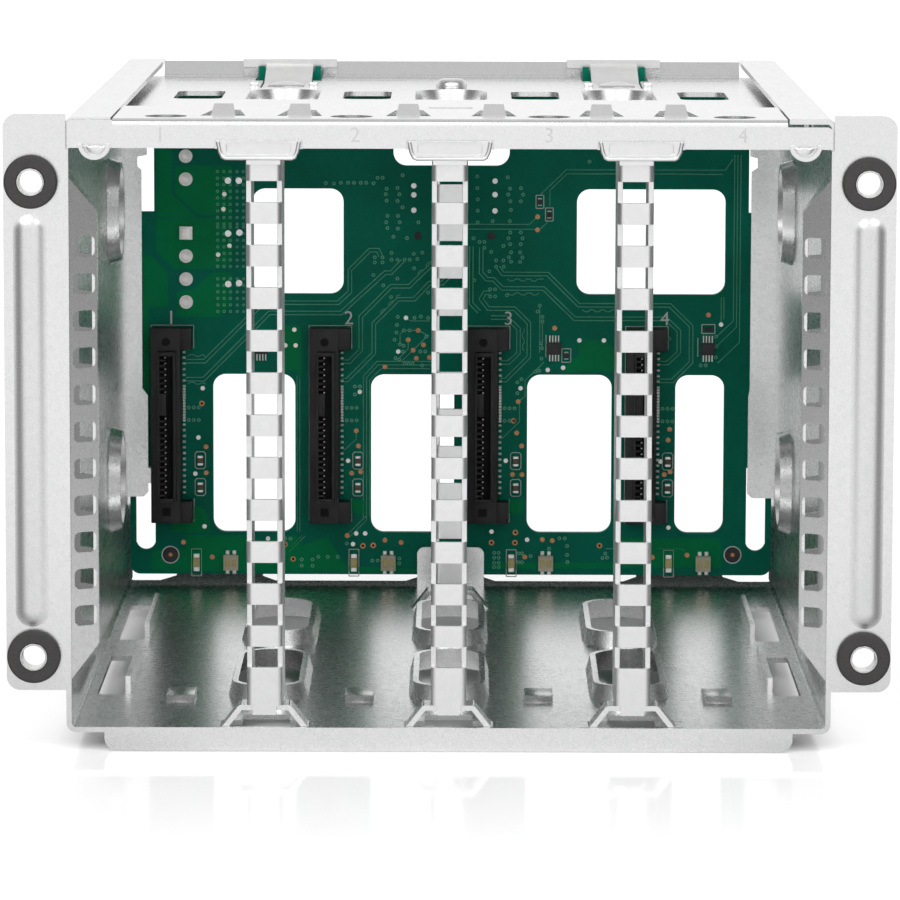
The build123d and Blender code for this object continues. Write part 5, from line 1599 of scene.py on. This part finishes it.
@dataclass
class DriveConnector:
    """One drive receptacle, with its contact wells, contacts and soldered tails."""

    palette: Palette
    number: int
    bay: float
    shift: float = -13.8
    low: float = 18.9
    high: float = 62.3
    width: float = 6.6
    end_tall: float = 4.8
    end_width: float = 2.5
    tall: float = 7.5
    base_tall: float = 4.65
    pitch: float = 1.27
    cell_rows: tuple[tuple[float, int], ...] = ((56.1, 7), (42.6, 15))
    tail_rows: tuple[tuple[float, float, int], ...] = ((56.6, 1.27, 6), (49.0, 0.64, 13), (40.4, 1.27, 13))

    def build(self) -> None:
        """Make the housing, contacts and tails."""
        left = self.bay + self.shift
        right = left + self.width
        body = Bench.block("bar", at(left, BOARD_DEPTH - self.base_tall, self.low),
                           at(right, BOARD_DEPTH - 0.05, self.high))
        Bench.bevel(body, 0.2 * MM, 2)
        ends = []
        for low in (self.low, self.high - self.end_tall):
            block = Bench.block("end", at(right - 0.3, BOARD_DEPTH - self.base_tall, low),
                                at(right + self.end_width, BOARD_DEPTH - 0.05, low + self.end_tall))
            ends.append(Bench.bevel(block, 0.2 * MM, 2))
        tongue = self.make_tongue(left)
        housing = Bench.join("connector_housing_%d" % self.number, [body, *ends, *tongue])
        Bench.smooth(housing)
        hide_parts("drive_connector_%d" % self.number)
        dress(housing, self.palette.black)
        self.make_wells(left)
        self.make_tails(right)

    def make_tongue(self, left: float) -> list[Piece]:
        """Make the comb of contact cells, the ridge beside the slot and the end walls.

        Args:
            left: Left edge of the bar in millimetres.

        Returns:
            The tongue's pieces.
        """
        low = self.low + self.end_tall + 0.2
        high = self.high - self.end_tall - 0.2
        front, back = BOARD_DEPTH - self.tall, BOARD_DEPTH - self.base_tall + 0.3
        spans = (
            (left + 1.75, left + 2.15, low, high),
            (left + 5.0, left + 5.7, low, high),
            (left + 2.1, left + 5.1, low, low + 0.9),
            (left + 2.1, left + 5.1, high - 0.9, high),
            (left + 2.1, left + 3.6, 43.2, 48.2),
        )
        walls = [
            Bench.bevel(Bench.block("wall", at(x0, front, z0), at(x1, back, z1)), 0.12 * MM, 2)
            for x0, x1, z0, z1 in spans
        ]
        tooth = Bench.block("tooth", at(left + 2.1, front + 0.1, -0.26), at(left + 3.3, back, 0.26))
        Bench.bevel(tooth, 0.07 * MM, 1)
        heights = [z - self.pitch / 2 for z in self.rows()]
        return [*walls, Bench.repeat("teeth", tooth, moves((0, z) for z in heights))]

    def rows(self) -> list[float]:
        """Return the heights of the contact cells."""
        return [top - self.pitch * i for top, count in self.cell_rows for i in range(count)]

    def make_wells(self, left: float) -> None:
        """Make the dark bottom of the cells and slot, the bright contact tips and the round recesses; the slot's
        bottom and the recesses are painted near black as shade.

        Args:
            left: Left edge of the bar in millimetres.
        """
        face = BOARD_DEPTH - self.tall
        slot = Bench.block("slot", at(left + 2.1, face + 1.9, self.low + 5.4),
                           at(left + 5.1, face + 2.3, self.high - 5.4))
        Bench.inset(slot, FORWARD, 0.2 * MM, 0.1 * MM)
        slot.name = "tongue_slot_%d" % self.number
        dress(slot, self.palette.void)
        tip = Bench.block("tip", at(left + 3.2, face + 0.7, -0.13), at(left + 3.55, face + 2.0, 0.13))
        Bench.bevel(tip, 0.05 * MM, 1)
        spots = [(0, z - 0.1) for z in self.rows()]
        scatter("contact_tips_%d" % self.number, tip, spots, self.palette.solder)
        middle = at(left + 3.4, BOARD_DEPTH - self.base_tall, self.high - 3.0)
        recess = Bench.drum("recess", middle, 0.95 * MM, 0.1 * MM, 20)
        Bench.inset(recess, FORWARD, 0.15 * MM, -0.03 * MM)
        square = Bench.block("square", at(left + 2.5, BOARD_DEPTH - self.base_tall - 0.05, self.low + 1.6),
                             at(left + 4.3, BOARD_DEPTH - self.base_tall + 0.05, self.low + 3.4))
        Bench.inset(square, FORWARD, 0.15 * MM, -0.03 * MM)
        marks = Bench.join("key_recesses_%d" % self.number, [recess, square])
        dress(marks, self.palette.void)

    def make_tails(self, right: float) -> None:
        """Make the soldered tails beside the bar.

        Args:
            right: Right edge of the bar in millimetres.
        """
        low, high = at(right + 0.2, BOARD_DEPTH - 0.5, -0.26), at(right + 0.95, BOARD_DEPTH, 0.26)
        tail = Bench.stepped("tail", low, high, (0.12, 0.12), 0.06, 1)
        rows = [top - pitch * i for top, pitch, count in self.tail_rows for i in range(count)]
        tails = Bench.repeat("soldered_tails_%d" % self.number, tail, moves((0, z) for z in rows))
        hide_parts("connector_tails_%d" % self.number)
        dress(tails, self.palette.solder)


@dataclass
class SmallParts:
    """Lamps, chips, capacitors and resistors on the board's front."""

    palette: Palette
    lamp_z: float = 9.5
    status_shift: float = -4.0
    status_end_drop: float = 3.0
    activity_shift: float = 3.65
    lens_shift: float = 0.7
    foot_spots: tuple[Point, ...] = ((-0.75, 11.7), (0.75, 11.7), (-0.75, 7.5), (0.75, 7.5))
    chip_spots: tuple[Point, ...] = ((-42.0, 57.6), (22.8, 57.6), (56.8, 57.6))
    lead_pitch: float = 0.65
    lead_reach: float = 2.1
    resistor_spots: tuple[Point, ...] = ((25.5, 56.0), (19.5, 90.1), (21.6, 87.3))
    lying_spot: Point = (56.9, 62.0)

    def build(self) -> None:
        """Make the small parts."""
        self.make_status_lamps()
        self.make_activity_lamps()
        self.make_chips()
        self.make_capacitors()
        self.make_resistors()

    def spread(self, half: float, rise: float, low: float, high: float) -> tuple[Vector, Vector]:
        """Return the two corners of a part that stands on the board's front.

        Args:
            half: Half its width in millimetres.
            rise: Its height above the board.
            low: Its lower end from the middle.
            high: Its upper end from the middle.

        Returns:
            The lowest and highest corner in metres.
        """
        return at(-half, BOARD_DEPTH - rise, low), at(half, BOARD_DEPTH, high)

    def make_status_lamps(self) -> None:
        """Make the narrow lamps with their pale ends."""
        spots = [(bay + self.status_shift, self.lamp_z) for bay in BAY_CENTRES]
        body = Bench.stepped("lamp", *self.spread(0.75, 0.6, -1.0, 1.0), (0.2, 0.12), 0.06)
        lamps = Bench.repeat("status_lamp_cases", body, moves(spots))
        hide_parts("status_lamps")
        dress(lamps, self.palette.lens)
        end = Bench.bevel(Bench.block("cap", *self.spread(0.7, 0.45, 1.0, 2.0)), 0.16 * MM, 2)
        ends = [(x, z - drop) for x, z in spots for drop in (0, self.status_end_drop)]
        scatter("status_lamp_ends", end, ends, self.palette.solder)

    def make_activity_lamps(self) -> None:
        """Make the square lamps with two lenses and soldered feet."""
        spots = [(bay + self.activity_shift, self.lamp_z) for bay in BAY_CENTRES]
        body = Bench.stepped("case", *self.spread(1.65, 1.1, -1.7, 1.7), (0.3, -0.12), 0.08)
        lamps = Bench.repeat("activity_lamp_cases", body, moves(spots))
        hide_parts("activity_lamps")
        dress(lamps, self.palette.lamp)
        lens = Bench.block("lens", at(-0.5, BOARD_DEPTH - 1.14, -0.9), at(0.5, BOARD_DEPTH - 0.9, 0.9))
        Bench.bevel(lens, 0.1 * MM, 2)
        pairs = [(x + shift, z) for x, z in spots for shift in (-self.lens_shift, self.lens_shift)]
        scatter("activity_lamp_lenses", lens, pairs, self.palette.lens)
        foot = Bench.stepped("foot", *self.spread(0.42, 0.35, -0.5, 0.5), (0.18, 0.15), 0.14)
        feet = [(bay + self.activity_shift + x, z) for bay in BAY_CENTRES for x, z in self.foot_spots]
        scatter("activity_lamp_feet", foot, feet, self.palette.solder)

    def make_chips(self) -> None:
        """Make the three eight-lead chips."""
        low, high = at(-1.55, BOARD_DEPTH - 1.0, -1.35), at(1.55, BOARD_DEPTH - 0.1, 1.35)
        body = Bench.stepped("case", low, high, (0.15, 0.06), 0.08)
        cases = Bench.repeat("chip_cases", body, moves(self.chip_spots))
        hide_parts("controller_chips")
        dress(cases, self.palette.chip)
        lead = Bench.stepped("lead", *self.spread(0.16, 0.3, -0.8, 0.8), (0.05, 0.15), 0.05, 1)
        leads = [
            (x + self.lead_pitch * (i - 1.5), z + end * self.lead_reach)
            for x, z in self.chip_spots for i in range(4) for end in (-1, 1)
        ]
        scatter("chip_leads", lead, leads, self.palette.solder)

    def make_capacitors(self) -> None:
        """Make the two capacitors beside each connector."""
        spots = capacitor_spots()
        body = Bench.stepped("body", *self.spread(0.6, 0.8, -0.75, 0.75), (0.12, 0.03), 0.06)
        bodies = Bench.repeat("capacitor_bodies", body, moves(spots))
        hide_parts("capacitors")
        dress(bodies, self.palette.ceramic)
        end = Bench.bevel(Bench.block("end", *self.spread(0.62, 0.84, 0.5, 1.1)), 0.12 * MM, 2)
        ends = [(x, z + shift) for x, z in spots for shift in (0.0, -1.6)]
        scatter("capacitor_ends", end, ends, self.palette.solder)

    def make_resistors(self) -> None:
        """Make the small resistors, one of them lying."""
        body = Bench.stepped("body", *self.spread(0.45, 0.45, -0.8, 0.8), (0.1, 0.03), 0.05, 1)
        x, z = self.lying_spot
        low, high = at(x - 0.8, BOARD_DEPTH - 0.45, z - 0.45), at(x + 0.8, BOARD_DEPTH, z + 0.45)
        lying = Bench.stepped("lying", low, high, (0.1, 0.03), 0.05, 1)
        upright = Bench.repeat("upright", body, moves(self.resistor_spots))
        bodies = Bench.join("resistor_bodies", [upright, lying])
        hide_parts("resistors")
        dress(bodies, self.palette.chip)
        end = Bench.bevel(Bench.block("end", *self.spread(0.47, 0.48, 0.5, 0.85)), 0.08 * MM, 1)
        ends = [(x, z + shift) for x, z in self.resistor_spots for shift in (0.0, -1.35)]
        scatter("resistor_ends", end, ends, self.palette.solder)


@dataclass
class RearParts:
    """The headers, pins and signal socket behind the board."""

    palette: Palette

    def build(self) -> None:
        """Dress the rear parts."""
        for place in ("upper", "lower"):
            piece = refined("power_header_" + place, "header_block_" + place, 0.12, 2)
            dress(piece, self.palette.header)
        dress(refined("power_pins", "header_pins", 0.1, 2), self.palette.solder)
        dress(refined("signal_socket_cage", "socket_cage", 0.1, 2), self.palette.sleeve)
        insert = refined("signal_socket_insert", "socket_insert", 0.1, 2)
        dress(insert, self.palette.black)


@dataclass
class Studio:
    """The pale floor, the soft lamps and the camera."""

    sky: tuple[Point, ...] = ((0.0, 1.0), (0.3, 1.0), (0.6, 0.6), (1.0, 0.62))
    around: tuple[Point, ...] = (
        (0.0, 1.0), (0.13, 0.95), (0.24, 0.35), (0.36, 0.14),
        (0.46, 0.22), (0.54, 0.5), (0.7, 0.85), (1.0, 1.06),
    )
    glow: float = 0.4
    shine: float = 0.14
    # Footprint of the painted shadow on the floor in metres: left, right, front and back.
    under: tuple[float, float, float, float] = (-0.076, 0.076, -0.094, 0.095)
    fade_start: float = -0.0955
    fade_end: float = -0.19

    def build(self) -> None:
        """Set up the whole studio."""
        self.make_floor()
        self.make_flag()
        self.make_world()
        self.add_lamp("key_lamp", (-500, -1000, 1000), 900, 5.6)
        self.add_lamp("fill_lamp", (600, -900, 1000), 800, 4.6)
        self.make_camera()
        bpy.context.scene.view_settings.view_transform = "Standard"

    def make_floor(self) -> None:
        """Make a wide pale floor with a faint gloss, whose white glow fades out under the cage as a painted
        shadow.
        """
        Bench.clear()
        bpy.ops.mesh.primitive_grid_add(
            x_subdivisions=8, y_subdivisions=8, size=12.0, location=(0, 2.0, -0.0002)
        )
        floor = Bench.settle(bpy.context.object, "floor")
        graph = Graph("pale_floor")
        speck = graph.noise(900.0, 2.0)
        colour = graph.ramp(speck, [(0.3, (0.86, 0.86, 0.86)), (0.7, (0.9, 0.9, 0.9))])
        graph.shader.inputs["Roughness"].default_value = 0.06
        graph.shader.inputs["IOR"].default_value = 1.3
        split = graph.add("ShaderNodeSeparateXYZ")
        graph.join(graph.place, split.inputs[0])
        fade = graph.tree.nodes.new("ShaderNodeMapRange")
        for key, value in (
            ("From Min", self.fade_end), ("From Max", self.fade_start), ("To Min", 0.0), ("To Max", 0.12),
        ):
            fade.inputs[key].default_value = value
        graph.join(split.outputs["Y"], fade.inputs["Value"])
        graph.join(fade.outputs["Result"], graph.shader.inputs["Specular IOR Level"])
        rays = graph.add("ShaderNodeLightPath")
        turn = self.azimuth(graph.tree, split)
        round_about = self.grey_ramp(graph.tree, turn, self.around)
        glossy = rays.outputs["Is Glossy Ray"]
        loss = self.operate(graph.tree, "SUBTRACT", (1.0, round_about))
        kept = self.operate(graph.tree, "SUBTRACT", (1.0, self.times(graph.tree, glossy, loss)))
        tint = graph.tree.nodes.new("ShaderNodeMix")
        tint.data_type = "RGBA"
        tint.blend_type = "MULTIPLY"
        tint.inputs["Factor"].default_value = 1.0
        graph.join(colour, tint.inputs[6])
        graph.join(kept, tint.inputs[7])
        graph.join(tint.outputs[2], graph.shader.inputs["Base Color"])
        mirrored = self.times(graph.tree, self.times(graph.tree, glossy, round_about), self.shine)
        # The camera glow is faded out under the cage, which paints the cage's shadow on the floor.
        clear = self.times(graph.tree, rays.outputs["Is Camera Ray"], self.outside(graph.tree, split))
        share = self.sum(graph.tree, mirrored, self.times(graph.tree, clear, self.glow))
        white = graph.add("ShaderNodeEmission", Strength=1.0)
        white.inputs["Color"].default_value = (1, 1, 1, 1)
        graph.join(share, white.inputs["Strength"])
        both = graph.tree.nodes.new("ShaderNodeAddShader")
        graph.join(graph.shader.outputs["BSDF"], both.inputs[0])
        graph.join(white.outputs["Emission"], both.inputs[1])
        graph.join(both.outputs["Shader"], graph.tree.nodes["Material Output"].inputs["Surface"])
        floor.data.materials.append(graph.material)
        floor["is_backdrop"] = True

    def operate(self, tree: bpy.types.NodeTree, kind: str, values: Sequence[object]) -> Socket:
        """Add a maths node.

        Args:
            tree: The nodes it joins.
            kind: The operation.
            values: Sockets or plain numbers.

        Returns:
            The result.
        """
        node = tree.nodes.new("ShaderNodeMath")
        node.operation = kind
        for socket, value in zip(node.inputs, values):
            if isinstance(value, bpy.types.NodeSocket):
                tree.links.new(value, socket)
            else:
                socket.default_value = value
        return node.outputs[0]

    def times(self, tree: bpy.types.NodeTree, first: object, second: object) -> Socket:
        """Multiply two values."""
        return self.operate(tree, "MULTIPLY", (first, second))

    def sum(self, tree: bpy.types.NodeTree, first: object, second: object) -> Socket:
        """Add two values."""
        return self.operate(tree, "ADD", (first, second))

    def azimuth(self, tree: bpy.types.NodeTree, split: bpy.types.Node) -> Socket:
        """Return the turn away from the front, 0 in front and 1 behind.

        Args:
            tree: The nodes it joins.
            split: The separated place or direction.

        Returns:
            The turn.
        """
        front = self.times(tree, split.outputs["Y"], -1.0)
        angle = self.operate(tree, "ARCTAN2", (split.outputs["X"], front))
        return self.times(tree, self.operate(tree, "ABSOLUTE", (angle,)), 1 / math.pi)

    def outside(self, tree: bpy.types.NodeTree, split: bpy.types.Node) -> Socket:
        """Return 1 outside the cage's footprint and 0 well under it, where the faded glow is a painted shadow.

        Args:
            tree: The nodes it joins.
            split: The separated place.

        Returns:
            The share of the glow that the floor keeps.
        """
        low_x, high_x, low_y, high_y = self.under
        edges = (
            (split.outputs["X"], low_x, low_x + 0.012), (split.outputs["X"], high_x, high_x - 0.012),
            (split.outputs["Y"], low_y, low_y + 0.008), (split.outputs["Y"], high_y, high_y - 0.012),
        )
        inside = None
        for value, start, end in edges:
            node = tree.nodes.new("ShaderNodeMapRange")
            node.inputs["From Min"].default_value = start
            node.inputs["From Max"].default_value = end
            tree.links.new(value, node.inputs["Value"])
            share = node.outputs["Result"]
            inside = share if inside is None else self.times(tree, inside, share)
        return self.operate(tree, "SUBTRACT", (1.0, inside))

    def make_flag(self) -> None:
        """Stand a low dark flag behind the cage, seen only in the sheet's reflections."""
        Bench.clear()
        bpy.ops.mesh.primitive_grid_add(
            x_subdivisions=4, y_subdivisions=2, size=1.0, location=(0, 0.104, 0.0098),
            rotation=(math.pi / 2, 0, 0),
        )
        card = bpy.context.object
        card.scale = (0.16, 0.019, 1)
        Bench.settle(card, "rear_flag")
        graph = Graph("dark_flag")
        speck = graph.noise(400.0, 2.0)
        colour = graph.ramp(speck, [(0.3, (0.008, 0.035, 0.026)), (0.7, (0.012, 0.045, 0.034))])
        graph.join(colour, graph.shader.inputs["Base Color"])
        graph.shader.inputs["Specular IOR Level"].default_value = 0.0
        card.data.materials.append(graph.material)
        card.visible_camera = False
        card.visible_shadow = False
        card.visible_diffuse = False
        card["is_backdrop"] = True

    def make_world(self) -> None:
        """Make a soft surround that is white to the eye."""
        world = bpy.data.worlds.new("surround")
        bpy.context.scene.world = world
        world.use_nodes = True
        tree = world.node_tree
        back = tree.nodes["Background"]
        back.inputs["Strength"].default_value = 1.0
        rays = tree.nodes.new("ShaderNodeLightPath")
        seen = tree.nodes.new("ShaderNodeMath")
        seen.operation = "MAXIMUM"
        tree.links.new(rays.outputs["Is Camera Ray"], seen.inputs[0])
        tree.links.new(rays.outputs["Is Transmission Ray"], seen.inputs[1])
        place = tree.nodes.new("ShaderNodeTexCoord")
        split = tree.nodes.new("ShaderNodeSeparateXYZ")
        tree.links.new(place.outputs["Generated"], split.inputs[0])
        height = self.grey_ramp(tree, split.outputs["Z"], self.sky)
        depth = self.grey_ramp(tree, self.azimuth(tree, split), self.around)
        both = tree.nodes.new("ShaderNodeMix")
        both.data_type = "RGBA"
        both.blend_type = "MULTIPLY"
        both.inputs["Factor"].default_value = 1.0
        tree.links.new(height, both.inputs[6])
        tree.links.new(depth, both.inputs[7])
        mix = tree.nodes.new("ShaderNodeMix")
        mix.data_type = "RGBA"
        tree.links.new(seen.outputs[0], mix.inputs["Factor"])
        tree.links.new(both.outputs[2], mix.inputs[6])
        mix.inputs[7].default_value = (1, 1, 1, 1)
        tree.links.new(mix.outputs[2], back.inputs["Color"])

    def grey_ramp(
        self, tree: bpy.types.NodeTree, source: Socket, stops: Sequence[tuple[float, float]]
    ) -> Socket:
        """Map a direction to a grey level.

        Args:
            tree: The world's nodes.
            source: The direction's share.
            stops: Places from 0 to 1 and their grey levels.

        Returns:
            The grey colour.
        """
        node = tree.nodes.new("ShaderNodeValToRGB")
        elements = node.color_ramp.elements
        while len(elements) < len(stops):
            elements.new(0.5)
        for element, (place, grey) in zip(elements, stops):
            element.position = place
            element.color = (grey, grey, grey, 1)
        tree.links.new(source, node.inputs["Fac"])
        return node.outputs["Color"]

    def add_lamp(self, name: str, place: Triple, size: float, power: float) -> None:
        """Add a soft square lamp that looks at the cage.

        Args:
            name: The lamp's name.
            place: Its place in millimetres.
            size: Its side in millimetres.
            power: Its power in watts.
        """
        lamp = bpy.data.lights.new(name, "AREA")
        lamp.shape = "SQUARE"
        lamp.size = size * MM
        lamp.energy = power
        holder = bpy.data.objects.new(name, lamp)
        bpy.context.scene.collection.objects.link(holder)
        spot = Vector(place) * MM
        holder.location = spot
        holder.rotation_euler = (Vector((0, 0, 0.06)) - spot).to_track_quat("-Z", "Y").to_euler()

    def make_camera(self) -> None:
        """Place the camera as the photograph was taken."""
        eye = at(*VIEW.place)
        right, up, forward = VIEW.axes()
        data = bpy.data.cameras.new("camera")
        data.lens = VIEW.lens
        data.sensor_width = VIEW.sensor
        data.clip_end = 50
        camera = bpy.data.objects.new("camera", data)
        bpy.context.scene.collection.objects.link(camera)
        basis = Matrix((right, up, -forward)).transposed().to_4x4()
        camera.matrix_world = Matrix.Translation(eye) @ basis
        bpy.context.scene.camera = camera


def main() -> None:
    """Build the looks in order and report each piece."""
    logging.basicConfig(level=logging.INFO, format="%(name)s: %(message)s")
    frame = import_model()
    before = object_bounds()
    LOG.info("frame has %d nodes", len(frame["nodes"]))
    palette = Palette()
    SheetMetal(palette).build()
    EarFittings(palette).build()
    BoardFace(palette).build()
    for number, bay in enumerate(BAY_CENTRES, start=1):
        DriveConnector(palette, number, bay).build()
    SmallParts(palette).build()
    RearParts(palette).build()
    Studio().build()
    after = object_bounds()
    sizes = [[list(corner) for corner in pair] for pair in (before, after)]
    "[" + ",\n".join(str(pair) for pair in sizes) + "]\n"


if __name__ == "__main__":
    main()
